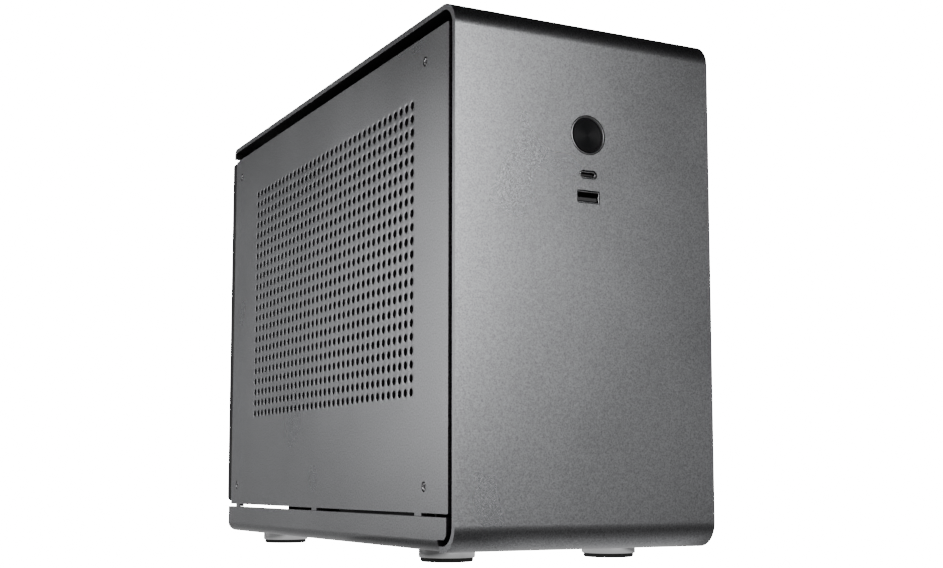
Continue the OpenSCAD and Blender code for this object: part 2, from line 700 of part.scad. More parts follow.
module front_leads() color(black) at_case() {
    lead(usb_route, 2);
    for (dx = [-1.2, 1.2]) lead(button_route(dx), 0.9, 6);
}

// ---------- motherboard ----------

module motherboard() color(green) at_case() difference() {
    box([top_x, board_y0, board_z], [pcb_x, board_y1, board_z + board_w]);
    for (p = board_holes) rod_x(top_x - 1, pcb_x + 1, p[0], p[1], 1.95);
}

module standoffs() color(gold) at_case() for (p = board_holes) difference() {
    union() {
        rod_x(pcb_x, tray_x, p[0], p[1], 3, 6);
        rod_x(tray_x - 1, tray_r + 1.5, p[0], p[1], m3_r);
    }
    rod_x(pcb_x - 1, tray_x - 1.5, p[0], p[1], m3_r - 0.2);
}

module board_screws() color(steel) at_case() for (p = board_holes) {
    rod_x(top_x - 2, top_x, p[0], p[1], 3);
    rod_x(top_x - 1, pcb_x + 4, p[0], p[1], m3_r - 0.2);
}

// Ports from the top down: Z centre, width along X, height along Z
port_y0 = board_y1 - 18;
port_y1 = rear_y - 0.2;
lan_z = board_z + 100;
usb_stack_z = [for (k = [0:3]) board_z + 20 + 19 * k];
display_z = [board_z + 120, board_z + 133];
jack_z = [board_z + 146, board_z + 156];

module io_shield() color(steel) at_case() difference() {
    box([shield_x[0] + 0.1, rear_in, shield_z[0] + 0.1], [shield_x[1] - 0.1, rear_y - 0.5, shield_z[1] - 0.1]);
    for (z = usb_stack_z)
        box([top_x - 16.2, rear_in - 1, z - 7.1], [top_x + 0.2, rear_y + 1, z + 7.1]);
    box([top_x - 14.2, rear_in - 1, lan_z - 8.7], [top_x + 0.2, rear_y + 1, lan_z + 8.7]);
    for (z = display_z) box([top_x - 6.9, rear_in - 1, z - 5.2], [top_x + 0.2, rear_y + 1, z + 5.2]);
    for (z = jack_z) rod_y(rear_in - 1, rear_y + 1, top_x - 6.5, z, 3.7);
}

module rear_ports() color(steel) at_case() {
    for (z = usb_stack_z) difference() {
        box([top_x - 16, port_y0, z - 6.9], [top_x, port_y1, z + 6.9]);
        for (x = [-12.2, -4.6]) {
            box([top_x + x - 2.8, port_y0 + 6, z - 6.3], [top_x + x + 2.8, port_y1 + 1, z + 6.3]);
        }
    }
    for (z = usb_stack_z, x = [-13.6, -6])
        box([top_x + x, port_y0 + 5, z - 5.6], [top_x + x + 1.8, port_y1 - 1, z + 5.6]);
    for (z = display_z) difference() {
        box([top_x - 6.7, port_y0, z - 5], [top_x, port_y1, z + 5]);
        box([top_x - 5.6, port_y0 + 6, z - 4.2], [top_x - 1.6, port_y1 + 1, z + 4.2]);
    }
    for (z = jack_z) difference() {
        union() {
            box([top_x - 10.4, port_y0, z - 4.2], [top_x, rear_in - 1.2, z + 4.2]);
            rod_y(port_y0, port_y1, top_x - 6.5, z, 3.5);
        }
        rod_y(port_y0 + 3, port_y1 + 1, top_x - 6.5, z, 1.8);
    }
}

module lan_port() color(steel) at_case() difference() {
    box([top_x - 14, port_y0, lan_z - 8.5], [top_x, port_y1, lan_z + 8.5]);
    box([top_x - 11.4, port_y0 + 4, lan_z - 6], [top_x - 2.6, port_y1 + 1, lan_z + 6]);
}

module cpu_socket() color(steel) at_case() {
    box([top_x - socket_h, cpu_y - 25, cpu_z - 27], [top_x, cpu_y + 25, cpu_z + 27]);
    box([base_x, cpu_y - 15, cpu_z - 15], [top_x - socket_h, cpu_y + 15, cpu_z + 15]);
}

module cooler_base() color(bright) at_case() difference() {
    union() {
        box([base_x - base_h, cpu_y - 20, cpu_z - 23], [base_x, cpu_y + 20, cpu_z + 23]);
        for (sy = [-1, 1]) box([base_x - 3, cpu_y + 30 * sy - 12, cpu_z - 10], [base_x - 1.5, cpu_y + 30 * sy + 12, cpu_z + 10]);
    }
    for (z = pipe_z) rod_y(cpu_y - 50, cpu_y + 50, base_x - base_h / 2, cpu_z + z, pipe_r + 0.02);
}

// Each heat pipe: a run through the base, a bend at each end and a run through the fins
pipe_bend = (base_x - base_h / 2 - fin_x0 + 8) / 2;
pipe_run = fin_w / 2 + 1;
module heatpipes() color(copper) at_case() for (z = pipe_z) translate([base_x - base_h / 2, cpu_y, cpu_z + z]) {
    for (x = [0, -2 * pipe_bend]) rod_y(-pipe_run, pipe_run, x, 0, pipe_r);
    for (s = [0, 1]) translate([-pipe_bend, pipe_run * (1 - 2 * s), 0]) rotate(180 * s)
        rotate_extrude(angle = 180, $fn = fine) translate([pipe_bend, 0]) circle(r = pipe_r, $fn = 32);
}

fin_pitch = fin_w / fin_count;
module cooler_fins() color(bright) at_case() difference() {
    union() {
        for (k = [0:fin_count - 1])
            box([fan_x, cpu_y - fin_w / 2 + 1 + fin_pitch * k, cpu_z - fin_w / 2],
                [fin_x0, cpu_y - fin_w / 2 + 1.5 + fin_pitch * k, cpu_z + fin_w / 2]);
        for (z = [-30, 30]) box([fan_x, cpu_y - fin_w / 2 + 1, cpu_z + z - 2],
            [fan_x + 0.6, cpu_y - fin_w / 2 + 1.5 + fin_pitch * (fin_count - 1), cpu_z + z + 2]);
    }
    for (z = pipe_z) rod_y(cpu_y - 60, cpu_y + 60, base_x - base_h / 2 - 2 * pipe_bend, cpu_z + z, pipe_r + 0.02);
}

module cooler_fan_frame() color(dark) at_case() face_left(fan_x, cpu_y, cpu_z) fan_frame(fin_w, fan_h, 44.5, 16);
module cooler_rotor() color(dark) at_case() face_left(fan_x - 2.6, cpu_y, cpu_z) rotor(43.5, 18, fan_h - 3.6, 9, 48);

module memory_modules() color(dark) at_case() for (y = [board_y0 + 13, board_y0 + 23]) {
    box([top_x - 33, y - 0.6, board_z + 18.5], [top_x - 3.2, y + 0.6, board_z + 151.5]);
    box([top_x - 34, y - 3.4, board_z + 19.5], [top_x - 9.4, y + 3.4, board_z + 150.5]);
}

module board_sockets() color(black) at_case() {
    for (y = [board_y0 + 13, board_y0 + 23]) difference() {
        box([top_x - 9, y - 3.3, board_z + 14], [top_x, y + 3.3, board_z + 156]);
        box([top_x - 10, y - 0.65, board_z + 18.3], [top_x - 3, y + 0.65, board_z + 151.7]);
    }
    difference() {
        box([top_x - 11.2, slot_y[0], slot_z - 3.75], [top_x, slot_y[1], slot_z + 3.75]);
        box([top_x - 12, slot_y[0] + 2, slot_z - 0.9], [top_x - 3, slot_y[1] - 2, slot_z + 0.9]);
    }
    box([top_x - 13.4, atx_y - 3.2, atx_z[0]], [top_x, atx_y + 3.2, atx_z[1]]);
    for (z = header_z) box([top_x - 9, board_y0 + 1, z - 5], [top_x, board_y0 + 7, z + 5]);
}

module ssd_heatsink() color(dark) at_case() {
    box([top_x - 4, board_y1 - 108, board_z + 20], [top_x, board_y1 - 24, board_z + 44]);
    for (k = [0:6])
        box([top_x - 9, board_y1 - 108, board_z + 20.5 + 3.6 * k], [top_x - 3.9, board_y1 - 24, board_z + 22 + 3.6 * k]);
}

module board_heatsinks() color(dark) at_case() {
    difference() {
        box([top_x - 20, cpu_y - 40, board_z + board_w - 13.5], [top_x, cpu_y + 44, board_z + board_w - 1]);
        for (k = [0:13])
            box([top_x - 21, cpu_y - 37 + 6 * k, board_z + board_w - 15], [top_x - 6, cpu_y - 34 + 6 * k, board_z + board_w]);
    }
    difference() {
        box([top_x - 12, board_y0 + 36, board_z + 22], [top_x, board_y0 + 56, board_z + 42]);
        for (k = [0:3])
            box([top_x - 13, board_y0 + 35, board_z + 24 + 4.6 * k], [top_x - 4, board_y0 + 57, board_z + 26.2 + 4.6 * k]);
    }
}

// ---------- power supply ----------

module psu_case() color(black) at_case() {
    difference() {
        box([psu_x0, psu_y0, psu_z0], [psu_x1, psu_y0 + psu_d, psu_z0 + psu_h]);
        box([psu_x0 + psu_wall, psu_y0 + psu_wall, psu_z0 + psu_wall],
            [psu_x1 - psu_wall, psu_y0 + psu_d - psu_wall, psu_z0 + psu_h - psu_wall]);
        rod_x(psu_x0 - 1, psu_x0 + 2, psu_y, psu_z, psu_fan / 2 - 1);
        along_y(psu_y0 - 1, psu_y0 + 2) {
            rounded([inlet_x - inlet_w / 2, inlet_z - inlet_h / 2], [inlet_x + inlet_w / 2, inlet_z + inlet_h / 2], 2);
            rounded([inlet_x - 8, rocker_z - 10], [inlet_x + 8, rocker_z + 10], 1);
            for (k = [0:6], j = [0:3])
                rounded([psu_x0 + 9 + 7 * k, rocker_z + 16 + 12 * j], [psu_x0 + 12 + 7 * k, rocker_z + 25 + 12 * j], 1.4);
        }
        along_y(psu_y0 + psu_d - 2, psu_y0 + psu_d + 1) rounded([psu_x0 + 10, psu_z0 + 80], [psu_x1 - 8, psu_z0 + 119], 1);
    }
    // Block of output sockets behind the rear wall
    box([psu_x0 + 10.2, psu_y0 + psu_d - 8, psu_z0 + 80.2], [psu_x1 - 8.2, psu_y0 + psu_d, psu_z0 + 118.8]);
    box([psu_x0 + 8, psu_y0 + psu_d - 8, psu_z0 + 78], [psu_x1 - 6, psu_y0 + psu_d - 1, psu_z0 + 121]);
}

module psu_board() color(green) at_case() {
    x = psu_x1 - 5;
    box([x - 1.6, psu_y0 + 26, psu_z0 + 6], [x, psu_y0 + psu_d - 10, psu_z0 + psu_h - 6]);
    for (z = [12, psu_h - 16]) box([x - 0.1, psu_y0 + 40, psu_z0 + z], [x + 4, psu_y0 + 46, psu_z0 + z + 6]);
    for (z = [24, 44]) rod_x(x - 33, x - 1.5, psu_y0 + 42, psu_z0 + z, 8);
    box([x - 26, psu_y0 + 54, psu_z0 + 18], [x - 1.5, psu_y0 + 80, psu_z0 + 50]);
    for (z = [60, 74]) box([x - 32, psu_y0 + 34, psu_z0 + z], [x - 1.5, psu_y0 + 84, psu_z0 + z + 3]);
}

module psu_fan_frame() color(dark) at_case() face_right(psu_x0 + psu_wall, psu_y, psu_z)
    mirror([0, 0, 1]) translate([0, 0, -fan_h]) fan_frame(psu_fan, fan_h, psu_fan / 2 - 1.5, 15);

module psu_rotor() color(dark) at_case()
    face_left(psu_x0 + psu_wall + fan_h - 2.6, psu_y, psu_z) rotor(psu_fan / 2 - 2.5, 17, fan_h - 4, 7, 48);

module psu_guard() color(steel) at_case() translate([psu_x0, psu_y, psu_z]) rotate([0, 90, 0]) {
    for (r = [10:9:37]) translate([0, 0, 0.9]) rotate_extrude($fn = fine) translate([r, 0]) circle(r = 0.8, $fn = 24);
    for (a = [45:90:315]) rotate(a) translate([9.4, -0.7, 0.2]) cube([psu_fan / 2 - 1 - 9.4, 1.4, 0.7]);
}

module psu_inlet() color(black) at_case() {
    difference() {
        along_y(psu_y0, psu_y0 + 22)
            rounded([inlet_x - inlet_w / 2 + 0.1, inlet_z - inlet_h / 2 + 0.1],
                [inlet_x + inlet_w / 2 - 0.1, inlet_z + inlet_h / 2 - 0.1], 1.9);
        along_y(psu_y0 - 1, psu_y0 + 18) rounded([inlet_x - 12, inlet_z - 8], [inlet_x + 12, inlet_z + 8], 2);
    }
    for (p = pins)
        box([inlet_x + p[0] - 1, psu_y0 + 3, inlet_z + p[1] - 2], [inlet_x + p[0] + 1, psu_y0 + 19, inlet_z + p[1] + 2]);
    difference() {
        along_y(psu_y0, psu_y0 + 10) rounded([inlet_x - 7.9, rocker_z - 9.9], [inlet_x + 7.9, rocker_z + 9.9], 0.9);
        rod_x(inlet_x - 6, inlet_x + 6, psu_y0, rocker_z, rocker_r + rocker_gap);
    }
    rod_x(inlet_x - 6.5, inlet_x + 6.5, psu_y0, rocker_z, 1.2);
}

module psu_rocker() color([0.1, 0.1, 0.1]) at_case() translate([inlet_x, psu_y0, rocker_z]) rotate([rocker_tilt, 0, 0])
    difference() {
        intersection() {
            rod_x(-5.7, 5.7, 0, 0, rocker_r);
            box([-6, -2, -8], [6, 8, 8]);
        }
        rod_x(-6, 6, 0, 0, 1.2 + stem_gap);
    }

module psu_bracket() color(steel) at_case() {
    y0 = psu_y0 - frame_t;
    difference() {
        union() {
            box([-frame_x + 3, y0, sheet], [psu_x1, psu_y0, psu_z0 + psu_h + 6]);
            box([psu_x1 - 1, y0, psu_z0 + 56], [tray_x, psu_y0, psu_z0 + psu_h + 6]);
            box([tray_x - frame_t, y0, psu_z0 + 56], [tray_x, psu_y0 + 14, psu_z0 + psu_h + 6]);
            box([-frame_x + 8, y0 - 10, sheet], [psu_x1 - 6, psu_y0, sheet + frame_t]);
        }
        along_y(y0 - 1, psu_y0 + 1) rounded([psu_x0 + 6, psu_z0 + 6], [psu_x1 - 6, psu_z0 + psu_h - 6], 4);
        for (p = feet) rod_z(0, sheet + 5, p[0], p[1], 5.5);
    }
}

module mains_inlet() color(black) at_case() {
    difference() {
        union() {
            along_y(rear_in - 1, rear_y) rounded([mains_x - 13.5, mains_z - 9.9], [mains_x + 13.5, mains_z + 9.9], 1.9);
            along_y(rear_in - mains_l, rear_in) rounded([mains_x - 13, mains_z - 9.4], [mains_x + 13, mains_z + 9.4], 1.9);
            along_y(rear_in - 2.5, rear_in) rounded([mains_x - 18, mains_z - 13], [mains_x + 18, mains_z + 13], 2);
        }
        along_y(rear_y - 16, rear_y + 1) rounded([mains_x - 12, mains_z - 8], [mains_x + 12, mains_z + 8], 2);
    }
    for (p = pins)
        box([mains_x + p[0] - 1, rear_y - 17, mains_z + p[1] - 2], [mains_x + p[0] + 1, rear_y - 3, mains_z + p[1] + 2]);
}

module mains_plug() color(black) at_case() difference() {
    union() {
        along_y(psu_y0 - 20, psu_y0 + 17.8) rounded([inlet_x - 11.8, inlet_z - 7.8], [inlet_x + 11.8, inlet_z + 7.8], 2);
        box([inlet_x + 11, psu_y0 - 19, inlet_z - 7], [inlet_x + 14, psu_y0 - 7, inlet_z + 5]);
    }
    for (p = pins)
        box([inlet_x + p[0] - 1.1, psu_y0 + 2.8, inlet_z + p[1] - 2.2],
            [inlet_x + p[0] + 1.1, psu_y0 + 19, inlet_z + p[1] + 2.2]);
}

module mains_lead() color(black) at_case() lead(mains_route, lead_r, 10, 5);
module board_cable() color(black) at_case() lead(board_route, board_lead_r, 10);

// ---------- graphics card and riser ----------

module gpu_board() color(green) at_case() {
    box([gpu_x, gpu_y0 + 4, gpu_z0], [gpu_x + pcb_t, gpu_y1 - 1, gpu_z0 + gpu_h - 6]);
    box([gpu_x, slot_y[0] + 3, gpu_z0 - 7.5], [gpu_x + pcb_t, slot_y[1] - 3, gpu_z0 + eps]);
    box([gpu_x + pcb_t, gpu_y0 + 42, gpu_z0 + gpu_h - 18], [gpu_x + pcb_t + 9, gpu_y0 + 66, gpu_z0 + gpu_h - 3]);
}

module gpu_backplate() color(dark) at_case() {
    difference() {
        box([plate_x, gpu_y0 + 2, gpu_z0 + 1], [plate_x + 1.2, gpu_y1 - 4, gpu_z0 + gpu_h - 4]);
        for (k = [0:7]) along_x(plate_x - 1, plate_x + 3)
            rounded([gpu_y0 + 16 + 8 * k, gpu_z0 + 26], [gpu_y0 + 20 + 8 * k, gpu_z0 + gpu_h - 30], 1.9);
    }
    for (y = [gpu_y0 + 12, gpu_y1 - 24], z = [gpu_z0 + 10, gpu_z0 + gpu_h - 20]) rod_x(plate_x + 1, gpu_x, y, z, 3);
}

gpu_fins = 40;
module gpu_heatsink() color(bright) at_case() {
    x0 = gpu_x + pcb_t;
    pitch = (gpu_len - 24) / gpu_fins;
    box([x0, gpu_fan_y[1] - 30, gpu_fan_z - 26], [gpu_sink_x + 2, gpu_fan_y[1] + 30, gpu_fan_z + 26]);
    box([gpu_sink_x + 0.6, gpu_y0 + 10, gpu_z0 + 14], [gpu_sink_x + 3, gpu_y1 - 12, gpu_z0 + gpu_h - 22]);
    for (k = [0:gpu_fins - 1])
        box([gpu_sink_x + 2.9, gpu_y0 + 10 + pitch * k, gpu_z0 + 8],
            [gpu_sink_x + gpu_sink_h, gpu_y0 + 10.6 + pitch * k, gpu_z0 + gpu_h - 20]);
}

module gpu_shroud() color(black) at_case() {
    z1 = gpu_z0 + gpu_h;
    difference() {
        along_x(gpu_x + pcb_t + 0.4, gpu_top_x) rounded([gpu_y0, gpu_z0 + 1], [gpu_y1 - 2, z1 - 1], 6);
        box([gpu_x, gpu_y0 + 2, gpu_z0 + 3], [gpu_top_x - 2, gpu_y1 + 1, z1 - 3]);
        for (y = gpu_fan_y) rod_x(gpu_top_x - 3, gpu_top_x + 1, y, gpu_fan_z, gpu_fan_r + 1.5);
        box([gpu_x, gpu_y0 + 36, z1 - 20], [gpu_x + 15, gpu_y0 + 72, z1 + 1]);
        for (k = [0:14]) for (z = [gpu_z0 - 1, z1 - 4]) if (z < z1 - 5 || k > 4)
            box([gpu_sink_x + 4, gpu_y0 + 16 + 15 * k, z], [gpu_sink_x + 17, gpu_y0 + 26 + 15 * k, z + 6]);
    }
    for (y = gpu_fan_y) {
        rod_x(gpu_fan_x - 2, gpu_fan_x, y, gpu_fan_z, 15);
        rod_x(gpu_fan_x - 1, gpu_top_x - 6, y, gpu_fan_z, spindle_r);
        box([gpu_fan_x - 2, y - 2, gpu_z0 + 2], [gpu_fan_x - 0.2, y + 2, z1 - 2]);
    }
}

module gpu_fan(y) {
    face_right(gpu_fan_x + 0.5, y, gpu_fan_z) rotor(gpu_fan_r, 17, gpu_top_x - gpu_fan_x - 1.5, 11, 52);
}

module gpu_rotor_front() color(dark) at_case() gpu_fan(gpu_fan_y[0]);
module gpu_rotor_rear() color(dark) at_case() gpu_fan(gpu_fan_y[1]);

module gpu_bracket() color(steel) at_case() difference() {
    union() {
        box([gpu_x - 3, rear_in - frame_t, gpu_z0 - 4], [slot_x[1] + 15, rear_in, gpu_z0 + gpu_h + 2]);
        box([gpu_x - 3, rear_in - 11, gpu_z0 + gpu_h + 1], [slot_x[1] + 15, rear_in, gpu_z0 + gpu_h + 2]);
    }
    along_y(rear_in - 3, rear_in + 1) {
        for (k = [0:3]) rounded([gpu_x + 2.6, gpu_z0 + 8 + 22 * k], [gpu_x + 8.6, gpu_z0 + 24 + 22 * k], 1);
        for (k = [0:9]) rounded([slot_x[1] + 1.5, gpu_z0 + 8 + 9 * k], [slot_x[1] + 11.5, gpu_z0 + 13 + 9 * k], 1);
    }
}

module gpu_cable() color(black) at_case() lead(gpu_route, gpu_lead_r, 10);

module riser_board() color(black) at_case() {
    difference() {
        box([gpu_x - 3, slot_y[0], riser_z0], [gpu_x + 4.6, slot_y[1], gpu_z0 - 2]);
        box([gpu_x - 0.1, slot_y[0] + 2, gpu_z0 - 8], [gpu_x + pcb_t + 0.1, slot_y[1] - 2, gpu_z0]);
    }
    box([tray_r, slot_y[0] + 2, riser_z0 + 2], [gpu_x - 2.9, slot_y[1] - 2, riser_z0 + 4]);
    // Plug in the board's slot
    box([top_x - 16, slot_y[0], slot_z - 4], [top_x - 11.3, slot_y[1], slot_z + 4]);
    box([top_x - 12, slot_y[0] + 3, slot_z - 0.8], [top_x - 3.1, slot_y[1] - 3, slot_z + 0.8]);
}

module riser_ribbon() color(dark) at_case() {
    x0 = top_x - 16;
    x1 = gpu_x + 0.8 + ribbon_t / 2;
    h = ribbon_t;
    along_y(ribbon_y[0], ribbon_y[1]) {
        quarter([x0, slot_z + h / 2 - ribbon_r], ribbon_r, h, 1);
        translate([x0 - ribbon_r, ribbon_z + ribbon_r]) square([h, slot_z + h / 2 - 2 * ribbon_r - ribbon_z]);
        quarter([x0, ribbon_z + ribbon_r], ribbon_r, h, 2);
        translate([x0, ribbon_z]) square([x1 - ribbon_r - x0, h]);
        quarter([x1 - ribbon_r, ribbon_z + ribbon_r], ribbon_r, h, 3);
        translate([x1 - h, ribbon_z + ribbon_r]) square([h, riser_z0 - ribbon_z - ribbon_r]);
    }
}

outer_shell();
front_frame();
motherboard_tray();
rear_panel();
rear_brackets();
frame_screws();
panel_nuts();
foot_rings();
foot_pads();
foot_screws();
left_panel();
right_panel();
left_panel_screws();
right_panel_screws();
button_bezel();
button_cap();
switch_body();
front_io_bracket();
usb_c_socket();
usb_a_socket();
front_io_board();
front_leads();
motherboard();
standoffs();
board_screws();
io_shield();
rear_ports();
lan_port();
cpu_socket();
cooler_base();
heatpipes();
cooler_fins();
cooler_fan_frame();
cooler_rotor();
memory_modules();
board_sockets();
ssd_heatsink();
board_heatsinks();
psu_case();
psu_board();
psu_fan_frame();
psu_guard();
psu_rotor();
psu_inlet();
psu_rocker();
psu_bracket();
mains_inlet();
mains_plug();
mains_lead();
board_cable();
gpu_board();
gpu_heatsink();
gpu_shroud();
gpu_backplate();
gpu_bracket();
gpu_rotor_front();
gpu_rotor_rear();
gpu_cable();
riser_board();
riser_ribbon();
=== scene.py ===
"""Looks of the desktop computer tower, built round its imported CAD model. Metres, +Z up, front towards -Y."""

import json
import math

import bmesh
import bpy
from mathutils import Matrix, Vector


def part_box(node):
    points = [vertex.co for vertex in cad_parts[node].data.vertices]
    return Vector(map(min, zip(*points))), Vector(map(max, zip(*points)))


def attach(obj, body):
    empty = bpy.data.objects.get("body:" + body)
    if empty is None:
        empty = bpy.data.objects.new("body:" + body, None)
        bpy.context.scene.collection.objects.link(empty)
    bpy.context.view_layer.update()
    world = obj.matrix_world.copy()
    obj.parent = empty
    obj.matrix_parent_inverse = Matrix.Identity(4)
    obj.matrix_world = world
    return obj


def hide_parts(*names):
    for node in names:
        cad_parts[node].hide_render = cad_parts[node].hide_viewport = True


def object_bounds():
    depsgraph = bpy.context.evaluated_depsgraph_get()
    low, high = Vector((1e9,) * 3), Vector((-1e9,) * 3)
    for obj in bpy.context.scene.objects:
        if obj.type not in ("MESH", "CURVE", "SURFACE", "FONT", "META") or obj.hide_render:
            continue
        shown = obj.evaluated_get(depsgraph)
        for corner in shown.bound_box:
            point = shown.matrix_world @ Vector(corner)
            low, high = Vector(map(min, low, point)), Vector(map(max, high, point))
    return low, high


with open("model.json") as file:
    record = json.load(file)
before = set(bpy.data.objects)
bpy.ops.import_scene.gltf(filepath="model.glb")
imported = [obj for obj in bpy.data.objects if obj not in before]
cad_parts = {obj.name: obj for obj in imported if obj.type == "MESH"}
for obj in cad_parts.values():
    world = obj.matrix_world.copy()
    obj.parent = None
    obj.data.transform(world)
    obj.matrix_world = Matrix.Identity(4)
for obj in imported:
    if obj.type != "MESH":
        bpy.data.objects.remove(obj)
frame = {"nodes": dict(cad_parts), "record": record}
cad_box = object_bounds()

SCENE = bpy.context.scene
NODES = frame["nodes"]
MM = 0.001
BODY_OF = {n: body for body, members in frame["record"]["behaviour"]["bodies"].items() for n in members}
SLOT_OF = {s["node"]: s["material_slot"] for s in frame["record"]["subparts"]}


# ---------- camera, light and floor ----------

WHITE = 20.0     # how bright the backdrop and the floor look to the camera
HORIZON = 0.24   # brightness of the room that the metal reflects, at eye level
ZENITH = 0.01    # and overhead
TABLE = 0.20     # brightness of the glowing table that the tower stands on
PAINTED_SHADE = 0.01    # its painted shade, just in front of the tower
PAINTED_GLOW_BENEATH = 0.40     # and how much more it glows beneath the tower, a painted glow
CARD_EDGES = ((-172, -162), (-98, -112))    # bearings from +Y, in degrees, between which a black card fades in and out
CARD_ON_ROOM, CARD_ON_TABLE = 0.9, 0.7      # how much of the light the card takes away


def add_camera():
    """A slightly upward view from the front left, level with the lower part of the tower."""
    data = bpy.data.cameras.new("camera")
    data.sensor_width = 36
    data.lens = 51.87
    data.shift_y = 0.0594
    data.clip_start = 0.01
    camera = bpy.data.objects.new("camera", data)
    yaw, pitch = 0.478, 0.103
    aim = Vector((math.sin(yaw) * math.cos(pitch), math.cos(yaw) * math.cos(pitch), math.sin(pitch)))
    camera.location = (-0.3608, -0.5687 + cad_box[0].y, 0.0411)
    camera.rotation_euler = aim.to_track_quat("-Z", "Y").to_euler()
    SCENE.collection.objects.link(camera)
    SCENE.camera = camera


def add_softbox(name, place, target, size, power):
    light = bpy.data.lights.new(name, "AREA")
    light.shape = "RECTANGLE"
    light.size, light.size_y = size
    light.energy = power
    lamp = bpy.data.objects.new(name, light)
    lamp.location = place
    lamp.visible_camera = False
    lamp.rotation_euler = (Vector(target) - Vector(place)).to_track_quat("-Z", "Y").to_euler()
    SCENE.collection.objects.link(lamp)


def flag(tree, vector):
    """Mask of the bearings that a black card fills, to the left of the front."""
    split = tree.nodes.new("ShaderNodeSeparateXYZ")
    bearing = tree.nodes.new("ShaderNodeMath")
    bearing.operation = "ARCTAN2"
    tree.links.new(vector, split.inputs[0])
    tree.links.new(split.outputs["X"], bearing.inputs[0])
    tree.links.new(split.outputs["Y"], bearing.inputs[1])
    edges = tree.nodes.new("ShaderNodeMath")
    edges.operation = "MINIMUM"
    for side, (start, end) in enumerate(CARD_EDGES):
        edge = tree.nodes.new("ShaderNodeMapRange")
        edge.interpolation_type = "SMOOTHSTEP"
        edge.inputs["From Min"].default_value = math.radians(min(start, end))
        edge.inputs["From Max"].default_value = math.radians(max(start, end))
        edge.inputs["To Min"].default_value = side
        edge.inputs["To Max"].default_value = 1 - side
        tree.links.new(bearing.outputs[0], edge.inputs["Value"])
        tree.links.new(edge.outputs["Result"], edges.inputs[side])
    return edges.outputs[0]


def dimmed(tree, strength, mask, amount):
    """The strength, less the given part of it where the mask is 1."""
    keep = tree.nodes.new("ShaderNodeMapRange")
    keep.inputs["To Min"].default_value = 1
    keep.inputs["To Max"].default_value = 1 - amount
    tree.links.new(mask, keep.inputs["Value"])
    times = tree.nodes.new("ShaderNodeMath")
    times.operation = "MULTIPLY"
    tree.links.new(strength, times.inputs[0])
    tree.links.new(keep.outputs["Result"], times.inputs[1])
    return times.outputs[0]


def add_studio():
    """White to the camera; the metal reflects a grey horizon that darkens overhead."""
    world = bpy.data.worlds.new("studio")
    SCENE.world = world
    world.use_nodes = True
    tree = world.node_tree
    tree.nodes.clear()
    path = tree.nodes.new("ShaderNodeLightPath")
    seen = tree.nodes.new("ShaderNodeBackground")
    lit = tree.nodes.new("ShaderNodeBackground")
    mix = tree.nodes.new("ShaderNodeMixShader")
    out = tree.nodes.new("ShaderNodeOutputWorld")
    place = tree.nodes.new("ShaderNodeTexCoord")
    split = tree.nodes.new("ShaderNodeSeparateXYZ")
    fade = tree.nodes.new("ShaderNodeMapRange")
    fade.interpolation_type = "SMOOTHSTEP"
    for name, number in (("From Min", 0.03), ("From Max", 0.35), ("To Min", HORIZON), ("To Max", ZENITH)):
        fade.inputs[name].default_value = number
    seen.inputs["Color"].default_value = (1, 1, 1, 1)
    seen.inputs["Strength"].default_value = WHITE
    lit.inputs["Color"].default_value = (0.97, 0.98, 1, 1)
    tree.links.new(place.outputs["Generated"], split.inputs[0])
    tree.links.new(split.outputs["Z"], fade.inputs["Value"])
    tree.links.new(dimmed(tree, fade.outputs["Result"], flag(tree, place.outputs["Generated"]), CARD_ON_ROOM),
                   lit.inputs["Strength"])
    tree.links.new(path.outputs["Is Camera Ray"], mix.inputs[0])
    tree.links.new(lit.outputs[0], mix.inputs[1])
    tree.links.new(seen.outputs[0], mix.inputs[2])
    tree.links.new(mix.outputs[0], out.inputs["Surface"])
    add_softbox("front_softbox", (0.0, -1.9, 0.6), (0, -0.1, 0.2), (1.4, 0.8), 23)
    add_softbox("rear_left_softbox", (-1.45, 1.4, 0.38), (-0.05, 0, 0.12), (0.8, 0.7), 6)
    add_softbox("overhead_softbox", (-1.0, 0.9, 1.5), (0, 0, 0.2), (1.2, 1.2), 5)
    add_softbox("rear_right_softbox", (1.5, 1.4, 0.7), (0.05, 0, 0.12), (1.1, 1.1), 7)


